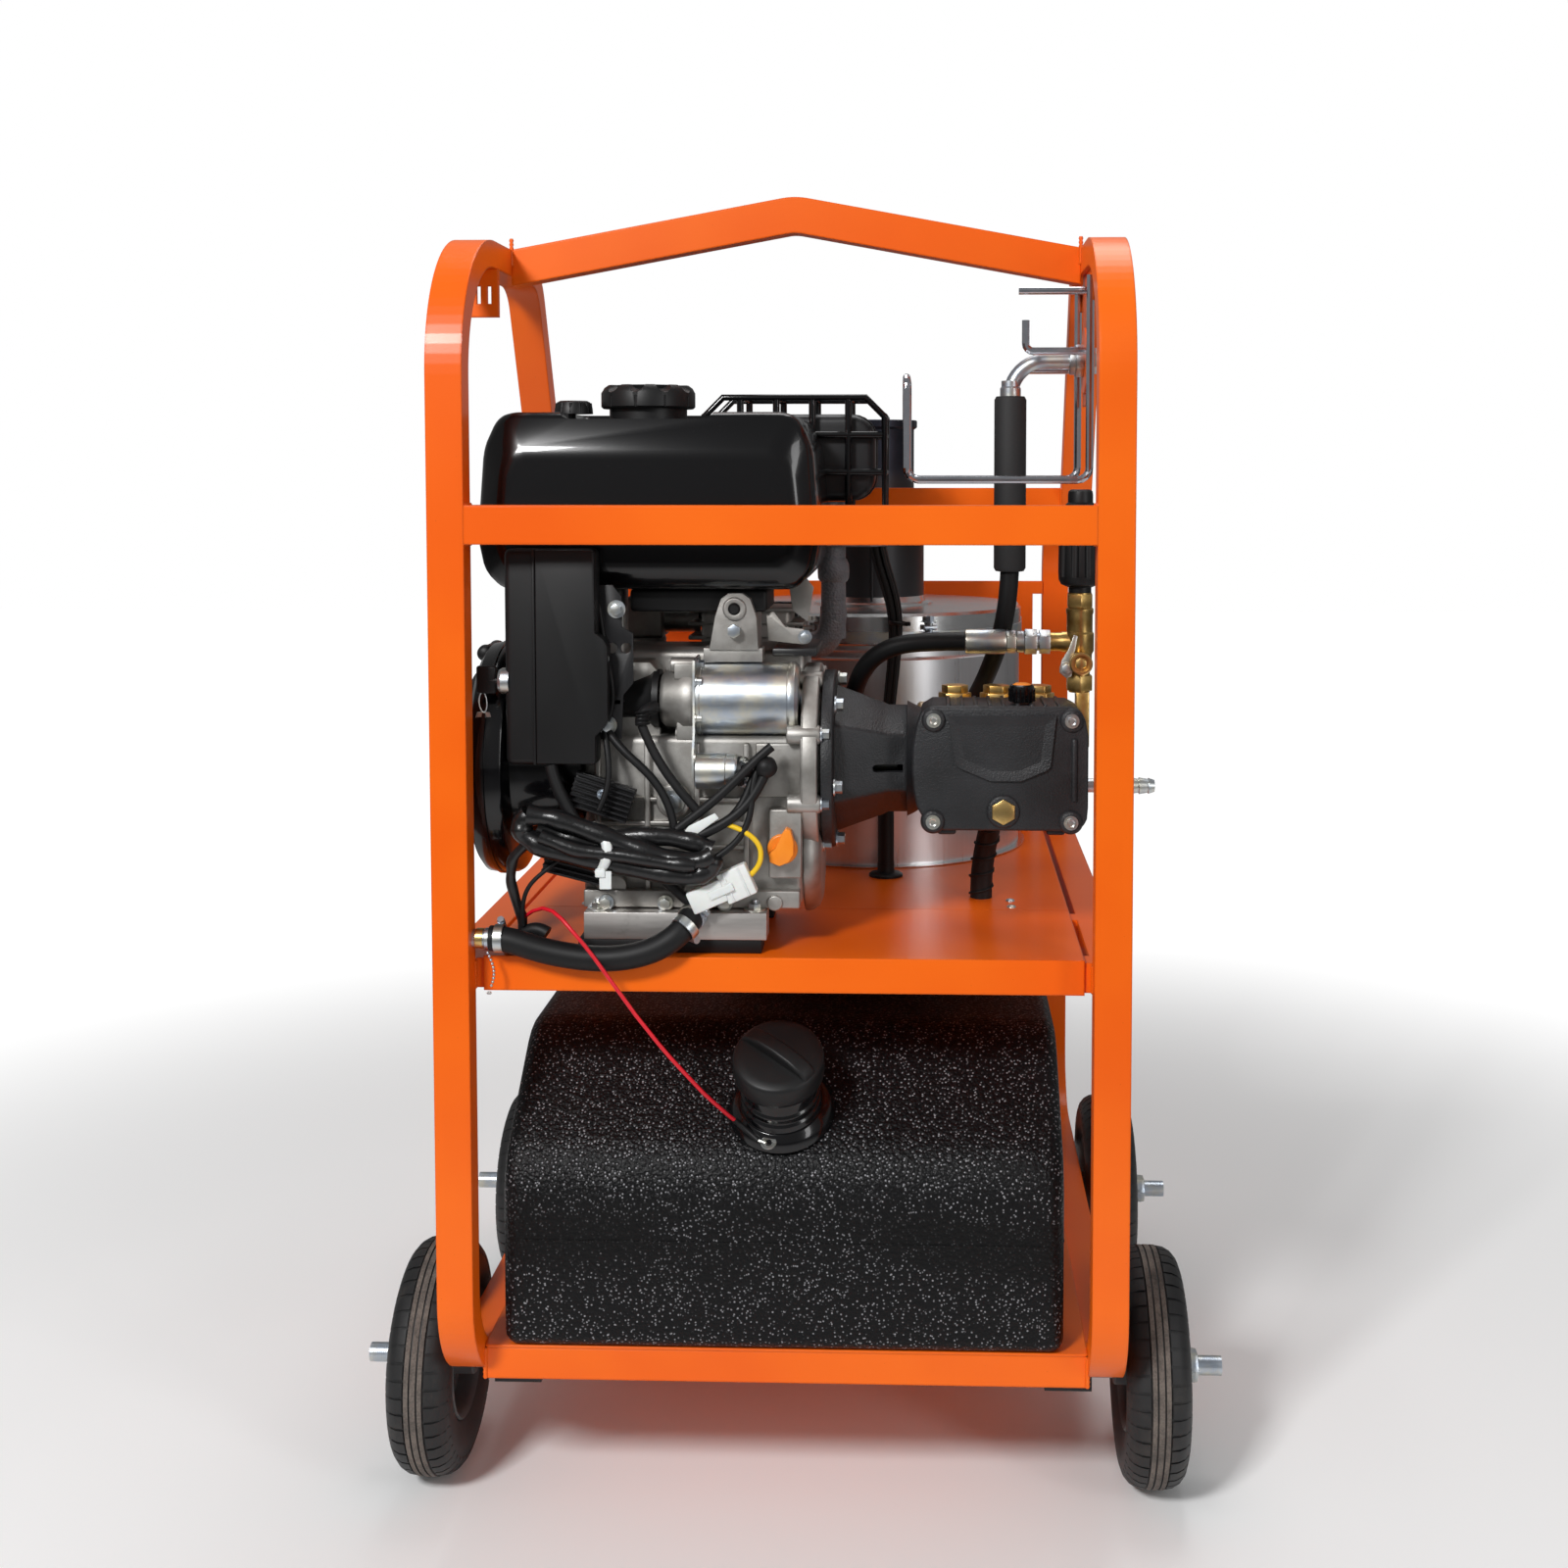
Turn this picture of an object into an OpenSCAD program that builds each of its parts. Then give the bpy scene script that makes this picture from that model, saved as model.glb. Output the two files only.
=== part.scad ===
// Engine-driven hot-water pressure washer on a four-wheeled tube frame.
// X runs to the pump side, Y from the engine end to the boiler end, Z up.
// The origin is on the floor, under the middle of the machine.

/* [Frame] */
// Width over the two side frames
frame_w = 682; // [670:1:720]
// Length over the two side frames
frame_l = 880; // [876:1:900]
// Height of the side frames above the floor
frame_top = 1310; // [1295:1:1335]
// Height of the rear step of the side frames
step_top = 1022; // [1018:1:1038]
// Underside of the side frames above the floor
frame_low = 148; // [144:1:152]
// Width of the side tube across the machine
tube_w = 36; // [30:1:40]
// Depth of the side tube in the plane of the side frame
tube_t = 28; // [24:1:30]
// Bend radius at the front top corner
top_bend = 130; // [110:5:150]
// Bend radius of the other corners
low_bend = 90; // [80:5:100]
// Height of a cross tube
bar_h = 38; // [34:1:40]
// Depth of a cross tube
bar_t = 28; // [24:1:30]
// Rise of the roof-shaped top bar at its middle
roof_rise = 56; // [30:1:80]
// Distance of the top bar behind the front face
roof_back = 226; // [200:1:240]

/* [Deck] */
// Top of the deck above the floor
deck_z = 592; // [590:1:594]
// Height of the folded front edge of the deck
deck_lip = 35; // [20:1:45]
// Sheet thickness
sheet = 3; // [2:0.5:4]
// Length of the front deck sheet
front_deck_l = 212; // [208:1:216]
// Height of the rear panel above the deck
panel_h = 326; // [300:1:340]

/* [Wheels] */
// Radius of a wheel over the tread
wheel_r = 121; // [119:1:123]
// Width of a tyre
tyre_w = 66; // [60:1:70]
// Radius of the rim under the tyre
rim_r = 64; // [58:1:68]
// Radius of an axle
axle_r = 10; // [9:0.5:11]
// Length of an axle over its ends
axle_l = 914; // [906:1:922]
// Distance of the front axle behind the front face
front_axle_back = 165; // [160:1:170]
// Distance between the axles
wheelbase = 495; // [480:5:510]

/* [Diesel tank] */
// Width of the diesel tank
dtank_w = 566; // [540:1:570]
// Length of the diesel tank
dtank_l = 400; // [380:5:420]
// Height of the diesel tank
dtank_h = 296; // [280:1:300]
// Height of the sloped front corner
dtank_slope = 95; // [88:1:104]
// Radius of the diesel filler cap
dcap_r = 46; // [42:1:50]

/* [Engine] */
// Height of the crankshaft above the floor
crank_z = 774; // [772:1:776]
// Distance of the crankshaft behind the front face
crank_back = 150; // [148:1:152]
// Height of an engine rail
rail_h = 33; // [30:1:35]
// Radius of the blower housing
blower_r = 120; // [112:1:121]
// Radius of the starter motor
starter_r = 35; // [30:1:36]
// Radius of the solenoid
solenoid_r = 18; // [14:1:20]
// Width of the fuel tank
ftank_w = 346; // [336:1:348]
// Height of the fuel tank
ftank_h = 178; // [160:1:180]
// Radius of the fuel cap
fcap_r = 47; // [40:1:50]
// Height of the fuel cap
fcap_h = 30; // [24:1:32]

/* [Pump] */
// Width of the pump crankcase
pump_w = 177; // [173:1:178]
// Height of the pump crankcase
pump_h = 126; // [120:1:128]
// Pitch of the three valve caps
valve_pitch = 44; // [43:0.5:46]
// Radius of the unloader knob
uknob_r = 24; // [20:0.5:25]
// Radius of a hose
hose_r = 10; // [8:0.5:11]
// Radius of the hand sleeve on the outlet hose
sleeve_r = 17; // [14:0.5:18]

/* [Boiler] */
// Radius of the boiler
boiler_r = 190; // [180:1:191]
// Height of the boiler lid above the deck
boiler_h = 309; // [300:1:316]
// Radius of the black flue sleeve
flue_sleeve_r = 66; // [60:1:70]
// Radius of the flue pipe
flue_r = 53; // [46:1:58]

/* [Hooks] */
// Radius of the hook wire
wire_r = 4; // [3:0.25:4.5]
// Reach of the big wire hook
hook_reach = 185; // [150:5:190]

/* [Hidden] */
$fn = 64;
bend_step = 4;

front = -frame_l / 2;
back = frame_l / 2;
half_w = frame_w / 2;
inner_w = half_w - tube_w;
fit = 0.05;
seat = 0.3;

// Side frame outline, along the middle of the tube, as points of Y and Z.
slope_top_back = 372;
slope_low_back = 520;
loop = [
  [front + tube_t / 2, frame_low + tube_t / 2],
  [front + tube_t / 2, frame_top - tube_t / 2],
  [front + slope_top_back, frame_top - tube_t / 2],
  [front + slope_low_back, step_top - tube_t / 2],
  [back - tube_t / 2, step_top - tube_t / 2],
  [back - tube_t / 2, frame_low + tube_t / 2]
];
slope_bend = 60;
loop_bends = [low_bend, top_bend, slope_bend, slope_bend, low_bend, low_bend];

// Cross tubes
crossbar_z = 1002;
corner_bar_in = 48;
corner_bar_h = 32;
bottom_bar_z = frame_low + 4;
rear_bar_z = step_top - 4 - corner_bar_h;
mid_bar_ahead = 5;
mid_bar_z = 1014;
roof_end_z = frame_top - bar_h / 2;

// Deck and trays
deck_rail_h = 30;
deck_rail_z = deck_z - sheet - deck_rail_h;
deck_front = front + 32;
deck_seam = deck_front + front_deck_l;
deck_back = back - tube_t - sheet;
deck_w = inner_w - 7;
seam_gap = 1;
side_lip = 16;
panel_w = inner_w - 14;
panel_tab_h = 18;
tray_z = bottom_bar_z + corner_bar_h;

// Brackets on the top rails
plate_t = 4;
hook_plate_x = inner_w + 5;
hook_plate_y = [front + 108, front + 274];
hook_plate_h = 37;
bend_room = 8;
slot_in = [8, 19];
slot_z = [36, 18];
tongue_w = 96;
tongue_h = 140;
disc_r = 35;
left_plate_x = 8 - half_w;
left_plate_w = 31;
left_plate_h = 50;
left_plate_y = front + 150;

// Wheels and axles
tyre_x = half_w + 6 + tyre_w / 2;
tyre_shoulder = 20;
bead_h = 16;
axle_y = [front + front_axle_back, front + front_axle_back + wheelbase];
axle_z = wheel_r;
bracket_x = half_w - 73;
bracket_w = 50;
bracket_l = 44;
bracket_drop = 20;
foot_l = 90;
foot_t = 6;
hub_w = 76;
hub_r = 22;
rim_w = 50;
rim_wall = 7;
disc_t = 8;
spacer_r = 14;
nut_r = 15;
nut_h = 9;

// Diesel tank
dtank_x = -2;
dtank_y = front + 40;
dtank_z = tray_z + sheet;
dtank_fillet = 30;
dcap_x = -6;
dcap_in = 53;
dtank_run = 140;
dcap_tilt = atan(dtank_slope / dtank_run);
neck_r = 36;
neck_h = 46;
collar_r = 48;
collar_h = 5;
dcap_h = 26;
grip_w = 16;
grip_h = 10;

// Engine
crank_y = front + crank_back;
shaft_r = 12.5;
mount_h = 8;
rail_x = -200;
rail_w = 183;
rail_t = 32;
rail_y = [front + 46, front + 196];
rail_z = deck_z + mount_h;
block_x0 = -205;
block_x1 = 17;
block_y0 = front + 76;
block_y1 = front + 236;
block_step_z = 806;
block_top = 888;
tank_post_w = 34;
tank_post_x = [-205, -65];
cover_t = 19;
cover_x1 = block_x1 + cover_t;
cover_r = 98;
sump_r = 60;
cover_bolt_ring = 88;
cover_bolt_r = 7;
cover_bolt_turn = 22;
cover_bolt_out = 5;
sump_z = crank_z - 96;
sump_y = crank_y - 10;
head_fins = 9;
fin_pitch = 15;
fin_t = 5;
head_x = -118;
head_w = 126;
head_z = 799;
head_l = 92;
blower_x = [-316, -277];
shroud_r = 88;
recoil_x = -336;
recoil_r = 96;
grip_r = 9;
grip_l = 70;
grip_x = -326;
grip_y = crank_y + 52;
grip_z = crank_z + 106;
grip_stem = 22;

ftank_x = -311;
ftank_z = 954;
ftank_y = front + 62;
ftank_l = 226;
ftank_belly = 23;
ftank_fold = 52;
ftank_shoulder = 34;
ftank_corner = 26;
ftank_fillet = 12;
fcap_x = -147;
fcap_y = front + 150;
gauge_x = -225;
gauge_r = 20;
gauge_h = 14;
box_x = -275;
box_w = 92;
box_y = front + 32;
box_t = ftank_y - box_y;
box_z = 782;
box_h = 215;
key_z = 865;
key_y = box_y + 14;
key_r = 3.5;
key_stem = 10;
key_bow = 18;
key_bow_w = 22;
key_bow_t = 3;
starter_x = -90;
starter_l = 103;
starter_y = front + 96;
starter_z = crank_z + 68;
block_step_y = starter_y + starter_r + seat;
nose_r = 30;
nose_l = 36;
solenoid_x = -88;
solenoid_l = 42;
solenoid_y = block_y0 - solenoid_r - seat;
solenoid_z = crank_z;
oil_cap_x = -2;
oil_cap_y = block_y0;
oil_cap_z = 695;
oil_cap_r = 14;
oil_cap_h = 18;
oil_tab_l = 20;
oil_tab_w = 8;

// Exhaust and air cleaner
guard_x = -110;
guard_w = 208;
guard_y = front + 296;
guard_l = 116;
guard_z = 1026;
guard_h = 132;
guard_t = 7;
guard_posts = 6;
guard_rails = 3;
muffler_in = 12;
flange_x = 28;
flange_w = 70;
flange_z = 988;
elbow_y = front + 310;
elbow_z = 888;
elbow_r = 14;
elbow_post = 4;
elbow_x = guard_x + elbow_post * (guard_w - guard_t) / (guard_posts - 1) - elbow_r - seat;
cleaner_x = -292;
cleaner_w = 130;
cleaner_y = front + 300;
cleaner_l = 112;
cleaner_z = 944;
cleaner_h = 160;
cleaner_fillet = 24;

// Pump
flange_r = 92;
flange_t = 13;
bell_x = cover_x1 + flange_t;
bell_r0 = 77;
bell_r1 = 53;
bell_bore = 32;
slot_x = 96;
slot_h = 6;
coupling_x = [62, 112];
coupling_r = 25;
pump_x = 127;
pump_z = crank_z - 62;
pump_y = front + 68;
cover_depth = 14;
cover_fillet = 16;
pump_d = 90;
foot_h = 10;
foot_w = 22;
foot_in = 32;
shaft_end = pump_x + 24;
head_y = pump_y + cover_depth + pump_d;
head_d = 74;
pump_head_z = 716;
pump_head_h = 106;
pump_head_in = 5;
valve_x = pump_x + 45;
valve_y = head_y + 22;
valve_r = 16;
valve_h = 24;
oil_x = 239;
oil_y = front + 112;
oil_r = 13;
oil_h = 18;

// Unloader, hoses and fittings
unloader_x = 303;
unloader_y = front + 184;
unloader_z = [pump_z + pump_h + 2, 945];
unloader_foot_h = 60;
unloader_foot_w = 11;
unloader_r = 15;
gauge_port_z = unloader_z[0] + 32;
gauge_port_l = 26;
gauge_port_r = 12;
uknob_h = 110;
branch_z = 893;
branch_r = 11;
branch_x = [182, 226, 272];
outlet_x = 230;
outlet_y = front + 205;
sleeve_z = [966, 1152];
elbow_bend = 37;
pipe_r = 8;
nipple_r = 11;
nipple_l = 22;
barb_x = 386;
barb_y = front + 210;
barb_z = 736;
barb_r = 9;
inlet_x = 218;
drain_z = 650;
drain_x = -84;
drain_y = front + 18;
drain_r = 13;

// Hooks
hook_x = hook_plate_x - wire_r;
hook_y = [hook_plate_y[0] + 6, hook_plate_y[1] - 6];
hook_low = 1064;
hook_lift = 104;
hook_bend = 12;
peg_z = 1258;
peg_l = 74;
gun_hook_z = 1197;
gun_hook_l = 66;
gun_hook_lift = 32;

// Boiler
boiler_x = 72;
boiler_gap = 1;
boiler_low = 428;
lid_h = 17;
flange_ring = 8;
boiler_y = deck_back - boiler_r - flange_ring - boiler_gap;
port_r = 12;
port_pitch = 78;
port_x = [boiler_x, boiler_x + port_pitch];
port_z = [714, 741];
port_y = [boiler_y - 210, boiler_y - 194];
flue_sleeve_h = 150;
flue_h = 87;
flue_lip = 4;
burner_r = 100;
burner_h = 110;
fan_r = 60;
fan_l = 90;

// Routes of wires and hoses, as points of X, Y and Z.
tank_wire_route = [
  [-262, -392, 626], [-250, -399, 635], [-238, -408, 640], [-226, -420, 640],
  [-214, -431, 634], [-203, -437, 624], [-192, -437, 611], [-182, -437, 598],
  [-172, -437, 584], [-162, -437, 570], [-152, -437, 556], [-142, -437, 542],
  [-131, -437, 528], [-120, -435, 513], [-109, -433, 499], [-98, -429, 485],
  [-88, -424, 472], [-79, -417, 459], [-70, -409, 447], [-62, -400, 436],
  [-55, -391, 426], [-48, -382, 417]
];
// Each of these routes is drawn from its start and stretched to where its end stands.
drain_start = 17 - inner_w;
function drain_at(x) = drain_start + x * (drain_x - drain_start) / 204;
drain_route = [
  [drain_start, drain_y, 613], [drain_at(16), drain_y, 613], [drain_at(40), drain_y, 604],
  [drain_at(66), drain_y, 598], [drain_at(92), drain_y, 594], [drain_at(118), drain_y, 593],
  [drain_at(142), drain_y, 596], [drain_at(164), drain_y, 603], [drain_at(181), drain_y + 1, 614],
  [drain_at(193), drain_y + 4, 628], [drain_at(200), drain_y + 11, 641],
  [drain_at(203), drain_y + 24, drain_z], [drain_x, drain_y + 40, drain_z],
  [drain_x, block_y0, drain_z]
];
function bypass_at(y) = unloader_y + y * (port_y[0] - unloader_y) / 256;
bypass_route = [
  [branch_x[0], unloader_y, branch_z], [156, unloader_y, branch_z],
  [128, unloader_y, 892], [104, bypass_at(3), 887], [84, bypass_at(10), 875],
  [70, bypass_at(24), 855], [62, bypass_at(46), 829], [60, bypass_at(72), 800],
  [60, bypass_at(102), 772], [63, bypass_at(136), 748], [67, bypass_at(172), 730],
  [70, bypass_at(208), 719], [port_x[0], bypass_at(236), port_z[0]],
  [port_x[0], port_y[0] - seat, port_z[0]]
];
supply_y = front + 306;
supply_route = [
  [inlet_x, supply_y - 46, pump_head_z + 8], [inlet_x, supply_y - 31, 710],
  [216, supply_y - 18, 692], [213, supply_y - 8, 672], [209, supply_y - 2, 652],
  [206, supply_y, 634], [204, supply_y, 614], [204, supply_y, deck_z]
];
function outlet_at(y) = outlet_y + y * (port_y[1] - outlet_y) / 251;
outlet_route = [
  [outlet_x, outlet_y, sleeve_z[0]], [229, outlet_at(2), 943], [226, outlet_at(6), 919],
  [221, outlet_at(12), 894], [214, outlet_at(23), 870], [206, outlet_at(38), 848],
  [197, outlet_at(59), 826], [187, outlet_at(87), 804], [177, outlet_at(119), 785],
  [168, outlet_at(153), 768], [160, outlet_at(189), 754], [port_x[1], outlet_at(221), port_z[1]],
  [port_x[1], port_y[1] - seat, port_z[1]]
];
loom_y = front + 26;
loom_route = [
  [-252, 2, 718], [-238, -2, 706], [-216, -3, 700], [-192, -2, 699], [-170, 0, 697],
  [-146, 2, 695], [-122, 3, 696], [-100, 2, 703], [-82, 0, 715], [-68, -2, 730]
];
loom_r = 6.5;
loom_lanes = [[0, 0], [2, 14.5], [14, 6], [13, -9]];
loom_stem = [
  [-262, -392, 626], [-268, -394, 644], [-272, -400, 666], [-268, -408, 690],
  [-258, -412, 712]
];
loom_stem_r = 5;

// Outline of a band of width t along the points p, bent with the radii r.
// side is 1 for its left edge and -1 for its right edge.
function unit(v) = v / norm(v);
function at(p, i) = p[(i + len(p)) % len(p)];
function left_of(v) = [-v[1], v[0]];
function turn(u, v) = sign(u[0] * v[1] - u[1] * v[0]);
function bend_edge(a, b, c, r, offset) =
  let (
    u = unit(a - b), v = unit(c - b), half = acos(u * v) / 2,
    middle = b + unit(u + v) * r / sin(half),
    from = unit(b + u * r / tan(half) - middle), to = unit(b + v * r / tan(half) - middle),
    sweep = acos(from * to), n = ceil(sweep / bend_step),
    edge_r = r + offset * turn(v, -u)
  )
  [for (k = [0 : n])
    middle + edge_r * (sin(sweep * (n - k) / n) * from + sin(sweep * k / n) * to) / sin(sweep)];
function loop_edge(p, r, offset) =
  [for (i = [0 : len(p) - 1]) each bend_edge(at(p, i - 1), p[i], at(p, i + 1), r[i], offset)];
function open_edge(p, r, offset) =
  let (n = len(p) - 1)
  concat(
    [p[0] + offset * left_of(unit(p[1] - p[0]))],
    [for (i = [1 : n - 1]) each bend_edge(p[i - 1], p[i], p[i + 1], r[i], offset)],
    [p[n] + offset * left_of(unit(p[n] - p[n - 1]))]
  );

module closed_band(p, r, t) {
  difference() {
    polygon(loop_edge(p, r, t / 2));
    polygon(loop_edge(p, r, -t / 2));
  }
}

module open_band(p, r, t) {
  back_edge = open_edge(p, r, -t / 2);
  polygon(concat(open_edge(p, r, t / 2), [for (i = [len(back_edge) - 1 : -1 : 0]) back_edge[i]]));
}

// Plate cut from an outline of Y and Z, from x0 along X.
module side_plate(x0, t) {
  translate([x0, 0, 0]) rotate([90, 0, 90]) linear_extrude(t) children();
}

// Plate cut from an outline of X and Z, from y0 along Y.
module front_plate(y0, t) {
  translate([0, y0 + t, 0]) rotate([90, 0, 0]) linear_extrude(t) children();
}

module block(x0, x1, y0, y1, z0, z1) {
  translate([x0, y0, z0]) cube([x1 - x0, y1 - y0, z1 - z0]);
}

// Rectangle with round corners, from its lower left corner.
module round_rect(w, h, r) {
  translate([r, 0]) square([w - 2 * r, h]);
  translate([0, r]) square([w, h - 2 * r]);
  for (x = [r, w - r], y = [r, h - r]) translate([x, y]) circle(r);
}

module rod_x(x0, x1, y, z, r) {
  translate([x0, y, z]) rotate([0, 90, 0]) cylinder(h = x1 - x0, r = r);
}

module rod_y(x, y0, y1, z, r) {
  translate([x, y0, z]) rotate([-90, 0, 0]) cylinder(h = y1 - y0, r = r);
}

module rod_z(x, y, z0, z1, r) {
  translate([x, y, z0]) cylinder(h = z1 - z0, r = r);
}

// Hexagon across X, Y or Z with its flats r from the middle.
module hex(h, r) {
  rotate(30) cylinder(h = h, r = r / cos(30), $fn = 6);
}

// Tube of radius r through the points p.
function tangent(p, i) = unit(p[min(i + 1, len(p) - 1)] - p[max(i - 1, 0)]);
function ring(p, i, r, n, up) =
  let (t = tangent(p, i), a = unit(cross(up, t)), b = cross(t, a))
  [for (k = [0 : n - 1]) p[i] + r * (cos(360 * k / n) * a + sin(360 * k / n) * b)];

module swept_tube(p, r, n = 10, up = [0, 1, 0]) {
  last = (len(p) - 1) * n;
  points = [for (i = [0 : len(p) - 1]) each ring(p, i, r, n, up)];
  sides = [
    for (i = [0 : len(p) - 2], k = [0 : n - 1])
      let (m = (k + 1) % n)
      each [[i * n + k, (i + 1) * n + k, (i + 1) * n + m], [i * n + k, (i + 1) * n + m, i * n + m]]
  ];
  polyhedron(
    points,
    concat(sides, [[for (k = [0 : n - 1]) k]], [[for (k = [n - 1 : -1 : 0]) last + k]]),
    convexity = 8
  );
}

// Route p with its inner corners bent to radius r, in steps of n.
function bend_points(a, b, c, r, n) =
  let (
    u = unit(a - b), v = unit(c - b), half = acos(u * v) / 2,
    middle = b + unit(u + v) * r / sin(half),
    from = unit(b + u * r / tan(half) - middle), to = unit(b + v * r / tan(half) - middle),
    sweep = acos(from * to)
  )
  [for (i = [0 : n])
    middle + r * (sin(sweep * (n - i) / n) * from + sin(sweep * i / n) * to) / sin(sweep)];
function bent_route(p, r, n = 4) = concat(
  [p[0]],
  [for (i = [1 : len(p) - 2]) each bend_points(p[i - 1], p[i], p[i + 1], r, n)],
  [p[len(p) - 1]]
);

// ---- Frame ----

module side_frame(x0) {
  color("darkorange") side_plate(x0, tube_w) closed_band(loop, loop_bends, tube_t);
}

module cross_tube(y0, z0, h) {
  block(-inner_w, inner_w, y0, y0 + bar_t, z0, z0 + h);
}

module front_crossbar() {
  color("darkorange") cross_tube(front, crossbar_z, bar_h);
}

module roof_bar() {
  ends = inner_w + bar_h;
  drop = roof_rise * bar_h / inner_w;
  color("darkorange") intersection() {
    front_plate(front + roof_back, bar_t) open_band(
      [[-ends, roof_end_z - drop], [0, roof_end_z + roof_rise], [ends, roof_end_z - drop]],
      [0, slope_bend, 0], bar_h
    );
    block(-inner_w, inner_w, front, back, crossbar_z, 2 * frame_top);
  }
}

// Tube at the rear step and the one across the slanted tubes, between muffler and flue.
module rear_bars() {
  color("darkorange") {
    cross_tube((guard_y + guard_l + boiler_y - flue_sleeve_r) / 2 - mid_bar_ahead, mid_bar_z, bar_h);
    cross_tube(back - corner_bar_in - bar_t, rear_bar_z, corner_bar_h);
  }
}

module bottom_bars() {
  color("darkorange") for (y = [front + corner_bar_in, back - corner_bar_in - bar_t])
    cross_tube(y, bottom_bar_z, corner_bar_h);
}

module deck_rails() {
  color("darkorange") {
    for (x = [-half_w, inner_w])
      block(x, x + tube_w, front + tube_t, back - tube_t, deck_rail_z, deck_z - sheet);
    for (y = [deck_front + sheet, deck_seam - bar_t - sheet, back - tube_t])
      block(-inner_w, inner_w, y, y + bar_t, deck_rail_z, deck_z - sheet);
  }
}

module front_deck() {
  color("darkorange") {
    block(-deck_w, deck_w, deck_front, deck_seam - seam_gap, deck_z - sheet, deck_z);
    block(-deck_w, deck_w, deck_front, deck_front + sheet, deck_z - deck_lip, deck_z);
  }
}

module rear_deck() {
  color("darkorange") difference() {
    union() {
      block(-deck_w, deck_w, deck_seam, deck_back, deck_z - sheet, deck_z);
      for (x = [-deck_w, deck_w - sheet])
        block(x, x + sheet, deck_seam, deck_back, deck_z - side_lip, deck_z);
    }
    rod_z(boiler_x, boiler_y, deck_z - deck_lip, deck_z + sheet, boiler_r + seam_gap);
  }
}

module tank_tray() {
  color("darkorange")
    block(-inner_w, inner_w, front + corner_bar_in, back - corner_bar_in, tray_z,
      tray_z + sheet);
}

module rear_panel() {
  color("darkorange") {
    block(-panel_w, panel_w, deck_back, deck_back + sheet, deck_rail_z, deck_z + panel_h);
    block(-inner_w, inner_w, deck_back, deck_back + sheet,
      deck_z + panel_h - panel_tab_h, deck_z + panel_h);
  }
}

// Hook plate with the outlet disc under the right top rail, slotted plate under the left.
module side_brackets() {
  rail_under = frame_top - tube_t;
  tongue_y = outlet_y - tongue_w / 2;
  color("darkorange") {
    difference() {
      union() {
        block(hook_plate_x, hook_plate_x + plate_t, hook_plate_y[0], hook_plate_y[1],
          rail_under - hook_plate_h, rail_under - bend_room);
        block(hook_plate_x, hook_plate_x + plate_t, tongue_y, tongue_y + tongue_w,
          rail_under - tongue_h, rail_under);
        rod_x(hook_plate_x, hook_plate_x + plate_t, outlet_y, sleeve_z[1] + elbow_bend, disc_r);
      }
      rod_x(hook_plate_x - plate_t, hook_plate_x + 2 * plate_t, outlet_y,
        sleeve_z[1] + elbow_bend, pipe_r + fit);
    }
    difference() {
      block(left_plate_x, left_plate_x + left_plate_w, left_plate_y, left_plate_y + plate_t,
        rail_under - left_plate_h, rail_under);
      for (x = slot_in)
        block(left_plate_x + x, left_plate_x + x + plate_t, left_plate_y - plate_t,
          left_plate_y + 2 * plate_t, rail_under - slot_z[0], rail_under - slot_z[1]);
    }
  }
}

module axle_brackets() {
  color("dimgray") for (y = axle_y, side = [-1, 1]) difference() {
    union() {
      block(min(side * bracket_x, side * (bracket_x + bracket_w)),
        max(side * bracket_x, side * (bracket_x + bracket_w)),
        y - bracket_l / 2, y + bracket_l / 2, axle_z - bracket_drop, frame_low);
      block(min(side * bracket_x, side * half_w), max(side * bracket_x, side * half_w),
        y - foot_l / 2, y + foot_l / 2, frame_low - foot_t, frame_low);
    }
    rod_x(-half_w - tube_w, half_w + tube_w, y, axle_z, axle_r);
  }
}

module axles() {
  hub_in = tyre_x - hub_w / 2;
  hub_out = tyre_x + hub_w / 2;
  color("silver") for (y = axle_y) {
    rod_x(-axle_l / 2, axle_l / 2, y, axle_z, axle_r);
    for (x = [-hub_in + 1, bracket_x + bracket_w])
      difference() {
        rod_x(x, x + hub_in - 1 - bracket_x - bracket_w, y, axle_z, spacer_r);
        rod_x(-half_w - hub_w, half_w + hub_w, y, axle_z, axle_r);
      }
    for (x = [-hub_out - 1 - nut_h, hub_out + 1])
      difference() {
        translate([x, y, axle_z]) rotate([0, 90, 0]) hex(nut_h, nut_r);
        rod_x(-axle_l, axle_l, y, axle_z, axle_r);
      }
  }
}

// ---- Wheels ----

module tyre(x, y) {
  color("black") translate([x, y, axle_z]) rotate([0, 90, 0]) rotate_extrude() {
    translate([rim_r + bead_h / 2, -tyre_w / 2])
      round_rect(wheel_r - rim_r - bead_h / 2, tyre_w, tyre_shoulder);
    translate([rim_r, -rim_w / 2]) square([bead_h + tyre_shoulder, rim_w]);
  }
}

module rim(x, y) {
  color("dimgray") translate([x, y, axle_z]) rotate([0, 90, 0]) rotate_extrude() {
    translate([axle_r + fit, -hub_w / 2]) square([hub_r - axle_r - fit, hub_w]);
    translate([hub_r - 1, -disc_t / 2]) square([rim_r - hub_r - rim_wall + 2, disc_t]);
    translate([rim_r - rim_wall, -rim_w / 2]) square([rim_wall, rim_w]);
  }
}

// ---- Diesel tank ----

module tank_outline() {
  difference() {
    square([dtank_l, dtank_h]);
    polygon([
      [-dtank_run, dtank_h - 2 * dtank_slope], [dtank_run, dtank_h],
      [dtank_run, dtank_h + 1], [-dtank_run, dtank_h + 1]
    ]);
  }
}

module on_slope() {
  translate([dcap_x, dtank_y + dcap_in,
    dtank_z + dtank_h - dtank_slope + dcap_in * tan(dcap_tilt)])
    rotate([dcap_tilt, 0, 0]) children();
}

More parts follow.
